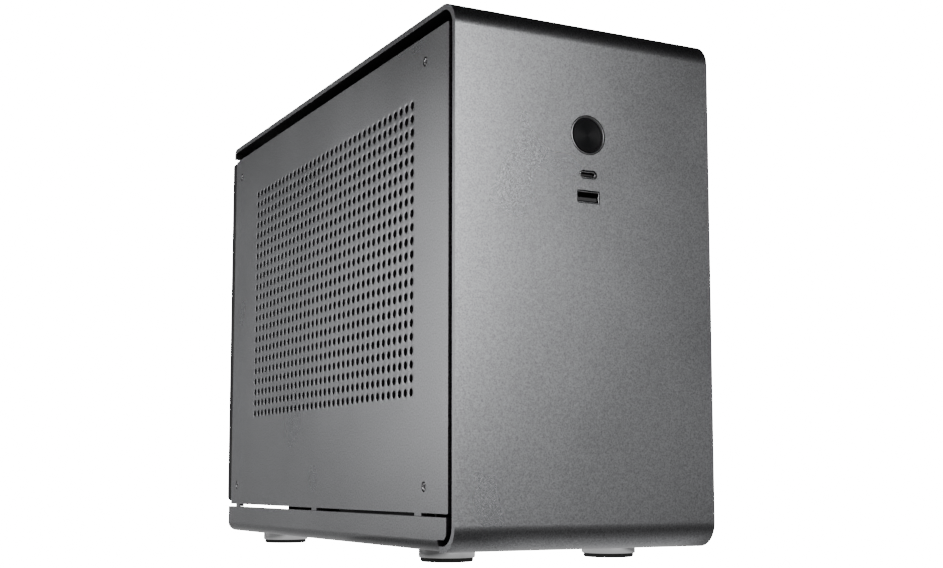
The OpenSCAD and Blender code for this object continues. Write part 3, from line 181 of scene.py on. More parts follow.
def add_floor():
    """A white table that glows softly; its glow carries painted shade just in front of the tower and a brighter painted
    glow beneath it.
    """
    mesh = bpy.data.meshes.new("floor")
    reach = 6.0
    corners = [(-reach, -reach, 0), (reach, -reach, 0), (reach, reach, 0), (-reach, reach, 0)]
    mesh.from_pydata(corners, [], [(0, 1, 2, 3)])
    floor = bpy.data.objects.new("floor", mesh)
    SCENE.collection.objects.link(floor)
    made = Surface("pale_floor", (0.12, 0.12, 0.12), roughness=0.7)
    made.grain(scale=40, height=0.0, colour=0.01)
    place = made.node("ShaderNodeTexCoord")
    split = made.node("ShaderNodeSeparateXYZ")
    made.link(place.outputs["Object"], split.inputs[0])
    front = cad_box[0].y
    # Painted shade: the glow drops just in front of the tower.
    glow = made.node("ShaderNodeMath", operation="MAXIMUM")
    made.link(made.ranged(split.outputs["Y"], PAINTED_SHADE, TABLE, front - 0.02, front), glow.inputs[0])
    made.link(made.ranged(split.outputs["Y"], PAINTED_SHADE, TABLE, front - 0.15, front - 0.35), glow.inputs[1])
    across = made.node("ShaderNodeMath", operation="ABSOLUTE")
    made.link(split.outputs["X"], across.inputs[0])
    # Painted glow: the table is brighter beneath the tower.
    beneath = made.node("ShaderNodeMath", operation="MINIMUM")
    made.link(made.ranged(across.outputs[0], PAINTED_GLOW_BENEATH, 0, cad_box[1].x - 0.015, cad_box[1].x + 0.005),
              beneath.inputs[0])
    made.link(made.ranged(split.outputs["Y"], 0, PAINTED_GLOW_BENEATH, front - 0.005, front + 0.015), beneath.inputs[1])
    under = made.node("ShaderNodeMath", operation="ADD")
    # The black card's mask takes more of the glow away: painted shade on the table.
    made.link(dimmed(made.tree, glow.outputs[0], flag(made.tree, place.outputs["Object"]), CARD_ON_TABLE),
              under.inputs[0])
    made.link(beneath.outputs[0], under.inputs[1])
    table = made.node("ShaderNodeEmission")
    made.link(under.outputs[0], table.inputs["Strength"])
    lit = made.node("ShaderNodeAddShader")
    made.link(made.shader.outputs[0], lit.inputs[0])
    made.link(table.outputs[0], lit.inputs[1])
    seen = made.node("ShaderNodeEmission")
    seen.inputs["Strength"].default_value = WHITE
    path = made.node("ShaderNodeLightPath")
    mix = made.node("ShaderNodeMixShader")
    made.link(path.outputs["Is Camera Ray"], mix.inputs[0])
    made.link(lit.outputs[0], mix.inputs[1])
    made.link(seen.outputs[0], mix.inputs[2])
    made.link(mix.outputs[0], made.tree.nodes["Material Output"].inputs["Surface"])
    mesh.materials.append(made.material)


# ---------- materials ----------

def group_socket(tree, name, kind, way, default=None):
    socket = tree.interface.new_socket(name=name, in_out=way, socket_type=kind)
    if default is not None:
        socket.default_value = default
    return socket


def make_grain_group():
    """Fine even texture of a blasted, moulded or coated surface: a height and a light-and-dark mask."""
    tree = bpy.data.node_groups.new("surface_grain", "ShaderNodeTree")
    group_socket(tree, "Scale", "NodeSocketFloat", "INPUT", 1500.0)
    group_socket(tree, "Cloud Scale", "NodeSocketFloat", "INPUT", 30.0)
    group_socket(tree, "Height", "NodeSocketFloat", "OUTPUT")
    group_socket(tree, "Grain", "NodeSocketFloat", "OUTPUT")
    group_socket(tree, "Cloud", "NodeSocketFloat", "OUTPUT")
    start = tree.nodes.new("NodeGroupInput")
    end = tree.nodes.new("NodeGroupOutput")
    place = tree.nodes.new("ShaderNodeTexCoord")
    fine = tree.nodes.new("ShaderNodeTexNoise")
    cloud = tree.nodes.new("ShaderNodeTexNoise")
    fine.inputs["Detail"].default_value = 3
    fine.inputs["Roughness"].default_value = 0.7
    cloud.inputs["Detail"].default_value = 2
    for noise, scale in ((fine, "Scale"), (cloud, "Cloud Scale")):
        tree.links.new(place.outputs["Object"], noise.inputs["Vector"])
        tree.links.new(start.outputs[scale], noise.inputs["Scale"])
    tree.links.new(fine.outputs["Fac"], end.inputs["Height"])
    tree.links.new(fine.outputs["Fac"], end.inputs["Grain"])
    tree.links.new(cloud.outputs["Fac"], end.inputs["Cloud"])
    return tree


GRAIN = make_grain_group()


class Surface:
    """A material built round one Principled shader."""

    def __init__(self, name, colour, metallic=0.0, roughness=0.5, **sockets):
        self.material = bpy.data.materials.new(name)
        self.material.use_nodes = True
        self.tree = self.material.node_tree
        self.shader = self.tree.nodes["Principled BSDF"]
        self.colour = colour
        self.shader.inputs["Base Color"].default_value = (*colour, 1)
        self.shader.inputs["Metallic"].default_value = metallic
        self.shader.inputs["Roughness"].default_value = roughness
        self.roughness = roughness
        for socket, value in sockets.items():
            self.shader.inputs[socket.replace("_", " ")].default_value = value

    def node(self, kind, **settings):
        made = self.tree.nodes.new(kind)
        for key, value in settings.items():
            setattr(made, key, value)
        return made

    def link(self, output, socket):
        self.tree.links.new(output, socket)

    def mixed(self, factor, low, high):
        """A colour between two colours, by a varying factor."""
        mix = self.node("ShaderNodeMix", data_type="RGBA")
        self.link(factor, mix.inputs[0])
        for socket, value in ((mix.inputs[6], low), (mix.inputs[7], high)):
            socket.default_value = (*value, 1)
        return mix.outputs[2]

    def ranged(self, value, low, high, start=0.0, end=1.0):
        spread = self.node("ShaderNodeMapRange")
        self.link(value, spread.inputs["Value"])
        for name, number in (("From Min", start), ("From Max", end), ("To Min", low), ("To Max", high)):
            spread.inputs[name].default_value = number
        return spread.outputs["Result"]

    def bump(self, height, depth):
        bump = self.node("ShaderNodeBump")
        bump.inputs["Strength"].default_value = 1.0
        bump.inputs["Distance"].default_value = depth
        self.link(height, bump.inputs["Height"])
        self.link(bump.outputs["Normal"], self.shader.inputs["Normal"])

    def grain(self, scale, height, colour=0.05, rough=0.05, cloud_scale=25.0):
        """Fine grain: depth of its relief in metres, and how far colour and roughness vary."""
        group = self.node("ShaderNodeGroup", node_tree=GRAIN)
        group.inputs["Scale"].default_value = scale
        group.inputs["Cloud Scale"].default_value = cloud_scale
        dark = tuple(c * (1 - colour) for c in self.colour)
        light = tuple(min(1.0, c * (1 + colour)) for c in self.colour)
        self.link(self.mixed(self.ranged(group.outputs["Grain"], 0, 1, 0.3, 0.7), dark, light),
                  self.shader.inputs["Base Color"])
        self.link(self.ranged(group.outputs["Cloud"], self.roughness - rough, self.roughness + rough, 0.3, 0.7),
                  self.shader.inputs["Roughness"])
        if height:
            self.bump(group.outputs["Height"], height)
        return self


def gunmetal_anodised():
    made = Surface("gunmetal_anodised", (0.36, 0.363, 0.375), metallic=1.0, roughness=0.29)
    return made.grain(scale=1200, height=0.000022, colour=0.34, rough=0.02, cloud_scale=12)


def satin_aluminium():
    made = Surface("satin_aluminium", (0.70, 0.70, 0.71), metallic=1.0, roughness=0.1)
    return made.grain(scale=900, height=0.000004, colour=0.03, rough=0.04)


def black_steel():
    made = Surface("black_steel", (0.012, 0.012, 0.013), roughness=0.6, Specular_IOR_Level=0.3)
    return made.grain(scale=1400, height=0.00003, colour=0.2, rough=0.06)


def zinc_steel():
    made = Surface("zinc_steel", (0.56, 0.57, 0.59), metallic=1.0, roughness=0.34)
    return made.grain(scale=260, height=0.000006, colour=0.08, rough=0.08)


def dark_screw():
    made = Surface("dark_screw", (0.52, 0.52, 0.53), metallic=1.0, roughness=0.24)
    return made.grain(scale=1500, height=0.00001, colour=0.08, rough=0.08)


def bezel_metal():
    made = Surface("bezel_metal", (0.34, 0.34, 0.35), metallic=1.0, roughness=0.3)
    return made.grain(scale=1500, height=0.00001, colour=0.05, rough=0.04)


def black_plastic():
    made = Surface("black_plastic", (0.018, 0.018, 0.02), roughness=0.48)
    return made.grain(scale=1100, height=0.00002, colour=0.15, rough=0.07)


def button_plastic():
    made = Surface("button_plastic", (0.007, 0.007, 0.008), roughness=0.42, Specular_IOR_Level=0.12)
    return made.grain(scale=1300, height=0.00002, colour=0.2, rough=0.05)


def rubber_pad():
    made = Surface("rubber_pad", (0.018, 0.018, 0.018), roughness=0.8)
    return made.grain(scale=900, height=0.00003, colour=0.25, rough=0.08)


def board_laminate():
    made = Surface("board_laminate", (0.006, 0.014, 0.012), roughness=0.38, Coat_Weight=0.3)
    return made.grain(scale=700, height=0.000006, colour=0.2, rough=0.05)


def port_metal():
    made = Surface("port_metal", (0.6, 0.61, 0.62), metallic=1.0, roughness=0.24)
    return made.grain(scale=500, height=0.000004, colour=0.05, rough=0.08)


def copper_pipe():
    made = Surface("copper_pipe", (0.80, 0.42, 0.26), metallic=1.0, roughness=0.3)
    return made.grain(scale=300, height=0.000006, colour=0.07, rough=0.08)


def fin_aluminium():
    made = Surface("fin_aluminium", (0.74, 0.75, 0.76), metallic=1.0, roughness=0.33)
    return made.grain(scale=400, height=0.000004, colour=0.05, rough=0.08)


def brass_standoff():
    made = Surface("brass_standoff", (0.66, 0.48, 0.2), metallic=1.0, roughness=0.3)
    return made.grain(scale=800, height=0.000005, colour=0.06, rough=0.06)


def dark_heatsink():
    made = Surface("dark_heatsink", (0.03, 0.03, 0.033), metallic=0.6, roughness=0.42)
    return made.grain(scale=1200, height=0.00002, colour=0.12, rough=0.05)


def cable_jacket():
    made = Surface("cable_jacket", (0.016, 0.016, 0.017), roughness=0.6)
    return made.grain(scale=900, height=0.00004, colour=0.2, rough=0.08)


FINISHES = {make.__name__: make().material for make in (
    gunmetal_anodised, satin_aluminium, black_steel, zinc_steel, dark_screw, bezel_metal, black_plastic,
    button_plastic, rubber_pad, board_laminate, port_metal, copper_pipe, fin_aluminium, brass_standoff,
    dark_heatsink, cable_jacket)}


# ---------- pieces ----------

# Width of the broken edges of the parts that keep their CAD shape, in millimetres
SOFT_EDGES = (
    ("rear_panel", 0.25), ("psu_case", 0.4), ("mains_inlet", 0.3),
    ("io_shield", 0.12), ("rear_ports", 0.1), ("lan_port", 0.1), ("psu_rocker", 0.3),
)


def finished(name, mesh, body, slot, replaced=()):
    """Puts a mesh in the scene as a piece of its own that rides on a body."""
    piece = bpy.data.objects.new(name, mesh)
    SCENE.collection.objects.link(piece)
    mesh.materials.clear()
    mesh.materials.append(FINISHES[slot])
    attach(piece, body)
    if replaced:
        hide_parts(*replaced)
    return piece


def from_bmesh(name, bm, smooth=40, turned=True):
    """A mesh of a shape that is then dropped; a closed shape has its faces turned outwards."""
    mesh = bpy.data.meshes.new(name)
    if turned:
        bmesh.ops.recalc_face_normals(bm, faces=bm.faces)
    bm.to_mesh(mesh)
    bm.free()
    mesh.shade_smooth()
    mesh.set_sharp_from_angle(angle=math.radians(smooth))
    return mesh


def plain_mesh(obj):
    """The evaluated mesh of an object with its modifiers applied, after which the object is gone."""
    depsgraph = bpy.context.evaluated_depsgraph_get()
    mesh = bpy.data.meshes.new_from_object(obj.evaluated_get(depsgraph))
    bpy.data.objects.remove(obj)
    return mesh


def bevelled(mesh, width, segments=2):
    """The same mesh with its sharp edges broken."""
    copy = bpy.data.objects.new(mesh.name, mesh)
    SCENE.collection.objects.link(copy)
    bevel = copy.modifiers.new("edges", "BEVEL")
    bevel.width = width * MM
    bevel.segments = segments
    bevel.limit_method = "ANGLE"
    bevel.angle_limit = math.radians(35)
    bevel.use_clamp_overlap = True
    return plain_mesh(copy)


def smoothed(mesh, angle=40):
    """The same mesh shaded smooth, with its flat faces kept flat."""
    mesh.shade_smooth()
    mesh.set_sharp_from_angle(angle=math.radians(angle))
    copy = bpy.data.objects.new(mesh.name, mesh)
    SCENE.collection.objects.link(copy)
    flat = copy.modifiers.new("flat_faces", "WEIGHTED_NORMAL")
    flat.mode = "FACE_AREA"
    flat.weight = 100
    flat.keep_sharp = True
    return plain_mesh(copy)


def cleaned(node):
    """A node's surface as a mesh of merged flat faces."""
    bm = bmesh.new()
    bm.from_mesh(NODES[node].data)
    bmesh.ops.remove_doubles(bm, verts=bm.verts, dist=0.002 * MM)
    bmesh.ops.dissolve_limit(bm, angle_limit=math.radians(1.0), verts=bm.verts, edges=bm.edges)
    return bm


def softened(node, width, segments=2):
    """A copy of a node with its sharp edges broken, which stands for it."""
    made = bevelled(from_bmesh(node + "_edges", cleaned(node)), width, segments)
    return finished(node + "_piece", smoothed(made), BODY_OF[node], SLOT_OF[node], [node])


def lathe(bm, profile, place, axis, segments=64):
    """Turns a closed outline of (radius, height) points, in millimetres, about an axis."""
    turn = Vector(axis).to_track_quat("Z", "Y").to_matrix()
    rings = []
    for radius, height in profile:
        count = 1 if radius == 0 else segments
        rings.append([bm.verts.new(Vector(place) + turn @ Vector((
            radius * MM * math.cos(math.tau * k / segments), radius * MM * math.sin(math.tau * k / segments),
            height * MM))) for k in range(count)])
    for low, high in zip(rings, rings[1:]):
        for k in range(segments):
            after = (k + 1) % segments
            corners = [low[k % len(low)], low[after % len(low)], high[after % len(high)], high[k % len(high)]]
            corners = list(dict.fromkeys(corners))
            if len(corners) > 2:
                bm.faces.new(corners)
    return rings


# ---------- what repeats ----------

def make_repeat_tree():
    """Copies of one object in columns and rows, realised and finished."""
    tree = bpy.data.node_groups.new("columns_and_rows", "GeometryNodeTree")
    sockets = {}
    for name, kind in (("Geometry", "NodeSocketGeometry"), ("Piece", "NodeSocketObject"),
                       ("Columns", "NodeSocketInt"), ("Rows", "NodeSocketInt"), ("Start", "NodeSocketVector"),
                       ("Column Step", "NodeSocketVector"), ("Row Step", "NodeSocketVector"),
                       ("Scatter", "NodeSocketFloat"), ("Scale Spread", "NodeSocketFloat"),
                       ("Seed", "NodeSocketInt"), ("Finish", "NodeSocketMaterial")):
        sockets[name] = tree.interface.new_socket(name=name, in_out="INPUT", socket_type=kind).identifier
    tree.interface.new_socket(name="Geometry", in_out="OUTPUT", socket_type="NodeSocketGeometry")
    start = tree.nodes.new("NodeGroupInput")
    end = tree.nodes.new("NodeGroupOutput")

    def math_node(operation, first, second):
        node = tree.nodes.new("ShaderNodeMath")
        node.operation = operation
        for socket, value in zip(node.inputs, (first, second)):
            if isinstance(value, (int, float)):
                socket.default_value = value
            else:
                tree.links.new(value, socket)
        return node.outputs[0]

    def vector_node(operation, first, second):
        node = tree.nodes.new("ShaderNodeVectorMath")
        node.operation = operation
        tree.links.new(first, node.inputs[0])
        tree.links.new(second, node.inputs["Scale" if operation == "SCALE" else 1])
        return node.outputs[0]

    index = tree.nodes.new("GeometryNodeInputIndex").outputs[0]
    columns = start.outputs["Columns"]
    column = math_node("MODULO", index, columns)
    row = math_node("FLOOR", math_node("DIVIDE", index, columns), 0)
    place = vector_node("ADD", start.outputs["Start"],
                        vector_node("ADD", vector_node("SCALE", start.outputs["Column Step"], column),
                                    vector_node("SCALE", start.outputs["Row Step"], row)))
    stray = tree.nodes.new("FunctionNodeRandomValue")
    stray.data_type = "FLOAT_VECTOR"
    stray.inputs[0].default_value = (0, -1, -1)
    stray.inputs[1].default_value = (0, 1, 1)
    tree.links.new(start.outputs["Seed"], stray.inputs["Seed"])
    place = vector_node("ADD", place, vector_node("SCALE", stray.outputs[0], start.outputs["Scatter"]))
    size = tree.nodes.new("FunctionNodeRandomValue")
    size.data_type = "FLOAT_VECTOR"
    size.inputs[0].default_value = (-1, -1, -1)
    size.inputs[1].default_value = (0, 1, 1)
    tree.links.new(start.outputs["Seed"], size.inputs["Seed"])
    one = tree.nodes.new("ShaderNodeCombineXYZ")
    for socket in one.inputs:
        socket.default_value = 1
    scale = vector_node("ADD", one.outputs[0], vector_node("SCALE", size.outputs[0], start.outputs["Scale Spread"]))
    points = tree.nodes.new("GeometryNodePoints")
    tree.links.new(math_node("MULTIPLY", columns, start.outputs["Rows"]), points.inputs["Count"])
    tree.links.new(place, points.inputs["Position"])
    copied = tree.nodes.new("GeometryNodeObjectInfo")
    tree.links.new(start.outputs["Piece"], copied.inputs["Object"])
    instances = tree.nodes.new("GeometryNodeInstanceOnPoints")
    tree.links.new(points.outputs[0], instances.inputs["Points"])
    tree.links.new(copied.outputs["Geometry"], instances.inputs["Instance"])
    tree.links.new(scale, instances.inputs["Scale"])
    realise = tree.nodes.new("GeometryNodeRealizeInstances")
    finish = tree.nodes.new("GeometryNodeSetMaterial")
    tree.links.new(instances.outputs[0], realise.inputs[0])
    tree.links.new(realise.outputs[0], finish.inputs["Geometry"])
    tree.links.new(start.outputs["Finish"], finish.inputs["Material"])
    tree.links.new(finish.outputs[0], end.inputs[0])
    return tree, sockets


REPEAT, REPEAT_SOCKETS = make_repeat_tree()


def repeated(mesh, slot, start, columns=1, rows=1, column_step=(0, 0, 0), row_step=(0, 0, 0),
             scatter=0.0, spread=0.0, seed=1):
    """One plain mesh of copies of a mesh; places and steps in metres."""
    original = bpy.data.objects.new(mesh.name + "_one", mesh)
    SCENE.collection.objects.link(original)
    host = bpy.data.objects.new(mesh.name + "_all", bpy.data.meshes.new(mesh.name + "_all"))
    SCENE.collection.objects.link(host)
    maker = host.modifiers.new("repeat", "NODES")
    maker.node_group = REPEAT
    for name, value in (("Piece", original), ("Columns", columns), ("Rows", rows), ("Start", start),
                        ("Column Step", column_step), ("Row Step", row_step), ("Scatter", scatter),
                        ("Scale Spread", spread), ("Seed", seed), ("Finish", FINISHES[slot])):
        maker[REPEAT_SOCKETS[name]] = value
    made = plain_mesh(host)
    bpy.data.objects.remove(original)
    return made


def joined(name, meshes):
    """Several meshes as one."""
    bm = bmesh.new()
    for mesh in meshes:
        bm.from_mesh(mesh)
    made = bpy.data.meshes.new(name)
    bm.to_mesh(made)
    bm.free()
    return smoothed(made)


# ---------- side panels ----------

PITCH = 7.0                    # of the vents
COLUMNS, ROWS = 36, 22
VENT_FRONT, VENT_TOP = 41.9, 32.2    # from a panel's front and top edges to the first vent
VENT_R = 2.1
VENT_EDGE = 0.2                # width of the broken edge round a vent
VENT_SIDES = 16


def vent_tile(thick):
    """One square of a side panel with a vent through it, its face towards -X."""
    bm = bmesh.new()
    angles = [math.tau * (k + 0.5) / VENT_SIDES for k in range(VENT_SIDES)]
    half = PITCH / 2 * MM

    def ring(x, radius):
        return [bm.verts.new((x * MM, radius * MM * math.cos(a), radius * MM * math.sin(a))) for a in angles]

    def square(x):
        made = []
        for k, a in enumerate(angles):
            y, z = math.cos(a), math.sin(a)
            reach = half / max(abs(y), abs(z))
            made.append(bm.verts.new((x * MM, y * reach, z * reach)))
            if k % 4 == 1:
                made.append(bm.verts.new((x * MM, math.copysign(half, y), math.copysign(half, z))))
        return made

    face, lip, back = ring(0, VENT_R + VENT_EDGE), ring(VENT_EDGE, VENT_R), ring(thick, VENT_R)
    for inner, edge, outward in ((face, square(0), True), (back, square(thick), False)):
        at = 0
        for k in range(VENT_SIDES):
            run = [edge[at % len(edge)], edge[(at + 1) % len(edge)]]
            at += 1
            if k % 4 == 1:
                run.append(edge[(at + 1) % len(edge)])
                at += 1
            outline = [inner[k]] + run + [inner[(k + 1) % VENT_SIDES]]
            bm.faces.new(outline[::-1] if outward else outline)
    for near, far in ((face, lip), (lip, back)):
        for k in range(VENT_SIDES):
            after = (k + 1) % VENT_SIDES
            bm.faces.new((far[k], far[after], near[after], near[k]))
    mesh = bpy.data.meshes.new("vent_tile")
    bm.to_mesh(mesh)
    bm.free()
    return mesh


def add_panel(node):
    """A side panel: its border cut from the CAD plate, its vents from repeated tiles."""
    low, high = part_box(node)
    y0 = low.y + (VENT_FRONT - PITCH / 2) * MM
    y1 = y0 + COLUMNS * PITCH * MM
    z1 = high.z - (VENT_TOP - PITCH / 2) * MM
    z0 = z1 - ROWS * PITCH * MM
    bm = bmesh.new()
    bm.from_mesh(NODES[node].data)
    bmesh.ops.remove_doubles(bm, verts=bm.verts, dist=0.002 * MM)
    cuts = (((0, y0, 0), (0, 1, 0)), ((0, y1, 0), (0, 1, 0)), ((0, 0, z0), (0, 0, 1)), ((0, 0, z1), (0, 0, 1)))
    for at, normal in cuts:
        everything = bm.verts[:] + bm.edges[:] + bm.faces[:]
        bmesh.ops.bisect_plane(bm, geom=everything, plane_co=at, plane_no=normal, dist=1e-7)
    middles = {f: f.calc_center_median() for f in bm.faces}
    inside = [f for f, c in middles.items() if y0 < c.y < y1 and z0 < c.z < z1]
    bmesh.ops.delete(bm, geom=inside, context="FACES")
    bmesh.ops.dissolve_limit(bm, angle_limit=math.radians(1.0), verts=bm.verts, edges=bm.edges)
    border = bevelled(from_bmesh(node + "_border", bm, turned=False), 0.25)
    first = (low.x, y0 + PITCH * MM / 2, z0 + PITCH * MM / 2)
    tiles = repeated(vent_tile((high.x - low.x) / MM), SLOT_OF[node], first, COLUMNS, ROWS,
                     (0, PITCH * MM, 0), (0, 0, PITCH * MM))
    if low.x > 0:
        tiles.transform(Matrix.Translation((low.x + high.x, 0, 0)) @ Matrix.Scale(-1, 4, (1, 0, 0)))
        tiles.flip_normals()
    return finished(node + "_plate", joined(node + "_plate", [border, tiles]), BODY_OF[node], SLOT_OF[node], [node])


def lining_and_painted_shade(node, soft, inset, slot, bent=False):
    """A hollow piece with softened edges, its inner faces in a second finish; a bent one keeps its bends. On the outer
    shell that dark second finish is painted shade.
    """
    piece = softened(node, soft)
    low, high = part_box(node)
    piece.data.materials.append(FINISHES[slot])
    for face in piece.data.polygons:
        inward = ((low + high) / 2 - face.center).dot(face.normal * Vector((0, 1, 1))) > 0
        within = all(low[k] + inset * MM < face.center[k] < high[k] - inset * MM for k in range(3))
        if within and (inward or not bent):
            face.material_index = 1


# ---------- screws ----------

def cap_screw(head_r, head_l, socket_r, socket_l, shank_r, shank_l):
    """A socket screw with its head's face at X = 0, towards -X."""
    bm = bmesh.new()
    sides = 36

    def ring(x, radius, six=False):
        points = []
        for k in range(sides):
            a = math.tau * k / sides
            r = radius
            if six:
                r = radius * math.cos(math.pi / 6) / math.cos((a % (math.tau / 6)) - math.pi / 6)
            points.append(bm.verts.new((x * MM, r * MM * math.cos(a), r * MM * math.sin(a))))
        return points

    chamfer = 0.25
    rings = [ring(socket_l, socket_r, True), ring(0.18, socket_r, True), ring(0, socket_r + 0.15),
             ring(0, head_r - chamfer), ring(chamfer, head_r), ring(head_l, head_r), ring(head_l, shank_r),
             ring(head_l + shank_l - 0.4, shank_r), ring(head_l + shank_l, shank_r - 0.4)]
    for near, far in zip(rings, rings[1:]):
        for k in range(sides):
            after = (k + 1) % sides
            bm.faces.new((near[k], near[after], far[after], far[k]))
    point = bm.verts.new(((socket_l + 0.3) * MM, 0, 0))
    for k in range(sides):
        bm.faces.new((rings[0][(k + 1) % sides], rings[0][k], point))
    bm.faces.new(rings[-1])
    return from_bmesh("cap_screw", bm, 35)


def add_panel_screws(node):
    low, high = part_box(node)
    head_r = 2.1
    length = (high.x - low.x) / MM
    screws = repeated(cap_screw(head_r, 1.8, 1.0, 1.1, 1.5, length - 1.8), SLOT_OF[node],
                      (low.x, low.y + head_r * MM, low.z + head_r * MM), 2, 2,
                      (0, high.y - low.y - 2 * head_r * MM, 0), (0, 0, high.z - low.z - 2 * head_r * MM))
    if low.x > 0:
        screws.transform(Matrix.Translation((low.x + high.x, 0, 0)) @ Matrix.Scale(-1, 4, (1, 0, 0)))
        screws.flip_normals()
    screws.shade_smooth()
    screws.set_sharp_from_angle(angle=math.radians(35))
    finished(node + "_turned", screws, BODY_OF[node], SLOT_OF[node], [node])


# ---------- front controls and feet ----------

def add_button():
    """A black disc with fine turned grooves and a narrow bright rim, on its stem."""
    low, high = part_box("button_cap")
    centre = ((low.x + high.x) / 2, low.y, (low.z + high.z) / 2)
    radius = (high.x - low.x) / 2 / MM
    grooves = []
    count = 22
    reach = radius - 0.75
    for k in range(count):
        r = reach * (k + 1) / count
        grooves += [(r - reach / count * 0.45, 0.12), (r, 0.17)]
    length, stem = (high.y - low.y) / MM, 2.5
    rim = [(radius - 0.6, 0.12), (radius - 0.45, 0.0), (radius - 0.15, 0.0), (radius, 0.15), (radius, 3.0)]
    profile = [(0, 0.12)] + grooves + rim + [(stem, 3.0), (stem, length), (0, length)]
    bm = bmesh.new()
    lathe(bm, profile, centre, (0, 1, 0), 96)
    finished("button_disc", from_bmesh("button_disc", bm, 30), BODY_OF["button_cap"], SLOT_OF["button_cap"],
             ["button_cap"])


def add_bezel():
    """The button's metal ring, with a black ring sunk between it and the front as painted shade in the gap."""
    low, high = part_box("button_cap")
    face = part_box("button_bezel")[0].y
    place = ((low.x + high.x) / 2, face, (low.z + high.z) / 2)
    outer, inner, depth, stem, length = 10.2, 8.68, 4.8, 4.5, 9
    bm = bmesh.new()
    lip = [(outer - 0.55, 0.06), (outer - 0.75, 0.0), (inner + 0.5, 0.12), (inner + 0.1, 0.6), (inner, 1.2)]
    bore = [(inner, depth), (stem, depth), (stem, length), (outer, length)]
    flange = [(outer, 7), (outer + 2.8, 7), (outer + 3, 6.8), (outer + 3, 4.5), (outer, 4.5)]
    groove = [(outer, 0.9), (outer - 0.5, 0.9), (outer - 0.5, 0.2), (outer - 0.55, 0.06)]
    lathe(bm, lip + bore + flange + groove, place, (0, 1, 0), 96)
    bmesh.ops.remove_doubles(bm, verts=bm.verts, dist=1e-6)
    finished("button_ring", from_bmesh("button_ring", bm, 30), BODY_OF["button_bezel"], SLOT_OF["button_bezel"],
             ["button_bezel"])
    # The black ring in the groove is painted shade for the dark gap round the bezel.
    bm = bmesh.new()
    painted_shadow_ring = [(outer - 0.49, 0.9), (outer - 0.49, 0.3), (outer - 0.4, 0.22), (outer - 0.02, 0.22),
              (outer - 0.02, 0.9), (outer - 0.49, 0.9)]
    lathe(bm, painted_shadow_ring, place, (0, 1, 0), 96)
    bmesh.ops.remove_doubles(bm, verts=bm.verts, dist=1e-6)
    finished("button_gasket", from_bmesh("button_gasket", bm, 30), BODY_OF["button_bezel"], "rubber_pad")


def contact_pads():
    """Rows of gilt contacts on the tongues of the two front sockets."""
    for node, count, pitch, width, back, top in (("usb_a_socket", 4, 2.4, 1.1, 6.95, -0.1),
                                                 ("usb_c_socket", 8, 0.7, 0.32, 5.55, 0.35)):
        low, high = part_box(node)
        bm = bmesh.new()
        bmesh.ops.create_cube(bm, size=1)
        bmesh.ops.scale(bm, vec=(width * MM, 5.5 * MM, 0.16 * MM), verts=bm.verts)
        bmesh.ops.bevel(bm, geom=bm.edges[:], offset=0.04 * MM, segments=1, affect="EDGES")
        pad = from_bmesh(node + "_pad", bm)
        first = (-(count - 1) / 2 * pitch * MM, low.y + back * MM, (low.z + high.z) / 2 + top * MM)
        pads = repeated(pad, "brass_standoff", first, count, 1, (pitch * MM, 0, 0))
        finished(node + "_contacts", pads, BODY_OF[node], "brass_standoff")


def add_feet():
    """Turned metal feet with a broken lower edge over round-cornered rubber pads."""
    low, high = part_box("foot_rings")
    radius = 14.5
    bm = bmesh.new()
    height = (high.z - low.z) / MM
    bore = [(2.05, height), (2.05, 2.2), (4, 2.2), (4, 0)]
    side = [(radius - 0.7, 0), (radius - 0.15, 0.25), (radius, 0.7), (radius, height - 0.3), (radius - 0.3, height)]
    lathe(bm, bore + side + bore[:1], (0, 0, 0), (0, 0, 1), 96)
    bmesh.ops.remove_doubles(bm, verts=bm.verts, dist=1e-6)
    foot = from_bmesh("foot_ring", bm, 35)
    step = ((high.x - low.x) - 2 * radius * MM, (high.y - low.y) - 2 * radius * MM)
    start = (low.x + radius * MM, low.y + radius * MM, low.z)
    rings = repeated(foot, SLOT_OF["foot_rings"], start, 2, 2, (step[0], 0, 0), (0, step[1], 0))
    finished("foot_rings_turned", rings, BODY_OF["foot_rings"], SLOT_OF["foot_rings"], ["foot_rings"])


# ---------- boards ----------

def small_part(name, size, edge=0.15):
    bm = bmesh.new()
    bmesh.ops.create_cube(bm, size=1)
    bmesh.ops.scale(bm, vec=[s * MM for s in size], verts=bm.verts)
    bmesh.ops.bevel(bm, geom=bm.edges[:], offset=edge * MM, segments=1, affect="EDGES")
    return from_bmesh(name, bm)


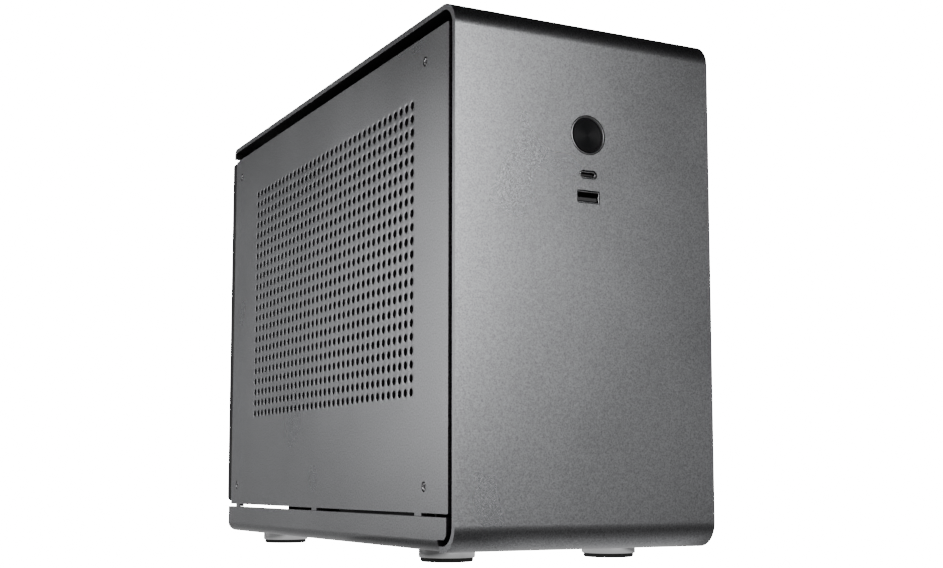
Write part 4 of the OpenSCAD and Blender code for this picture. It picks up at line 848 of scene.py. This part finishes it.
def can_capacitor(radius, height):
    bm = bmesh.new()
    top = [(0, height), (radius - 0.5, height), (radius - 0.35, height - 0.12), (radius - 0.1, height)]
    side = [(radius, height - 0.3), (radius, 1.2), (radius - 0.3, 1.0), (radius - 0.3, 0.8), (radius, 0.6), (radius, 0)]
    lathe(bm, top + side + [(0, 0)], (0, 0, 0), (-1, 0, 0), 20)
    return from_bmesh("can_capacitor", bm, 35)


def add_board_parts():
    """Chokes, chips, resistors and capacitors between the sockets of the main board."""
    low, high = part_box("motherboard")
    face = low.x
    body = BODY_OF["motherboard"]
    chip = small_part("chip", (0.8, 2.2, 3.0))
    choke = small_part("choke", (3.6, 6.0, 6.0), 0.4)
    resistor = small_part("resistor", (0.45, 1.2, 0.7), 0.08)

    def spot(across, up, out):
        return face - out * MM, low.y + across * MM, low.z + up * MM

    parts = (
        ("chokes", choke, "dark_heatsink", spot(143, 92, 1.8), 1, 6, 0, 9, 0, 0),
        ("chips", chip, "black_plastic", spot(12, 8, 0.4), 9, 5, 17, 4.5, 1.6, 0.15),
        ("resistors", resistor, "port_metal", spot(8, 5, 0.22), 40, 20, 4, 1.3, 1.0, 0.2),
        ("capacitors", can_capacitor(2.6, 7), "satin_aluminium", spot(30, 158, 0), 5, 2, 8, 6.5, 0.4, 0.0),
    )
    for name, mesh, slot, start, columns, rows, column_step, row_step, scatter, spread in parts:
        made = repeated(mesh, slot, start, columns, rows, (0, column_step * MM, 0), (0, 0, row_step * MM),
                        scatter * MM, spread, seed=7)
        made.shade_smooth()
        made.set_sharp_from_angle(angle=math.radians(35))
        finished("board_" + name, made, body, slot)


add_camera()
add_studio()
add_floor()

for node, obj in NODES.items():
    obj.data.materials.clear()
    obj.data.materials.append(FINISHES[SLOT_OF[node]])

for panel in ("left_panel", "right_panel"):
    add_panel(panel)
    add_panel_screws(panel + "_screws")
for node, width in SOFT_EDGES:
    softened(node, width)
# The shell's black inner faces are painted shade: dark where the inside of the shell only lies in shade.
lining_and_painted_shade("outer_shell", 0.3, 2.3, "black_steel", bent=True)
lining_and_painted_shade("usb_a_socket", 0.08, 0.3, "black_plastic")
lining_and_painted_shade("usb_c_socket", 0.08, 0.25, "black_plastic")
add_bezel()
add_button()
contact_pads()
add_feet()
add_board_parts()
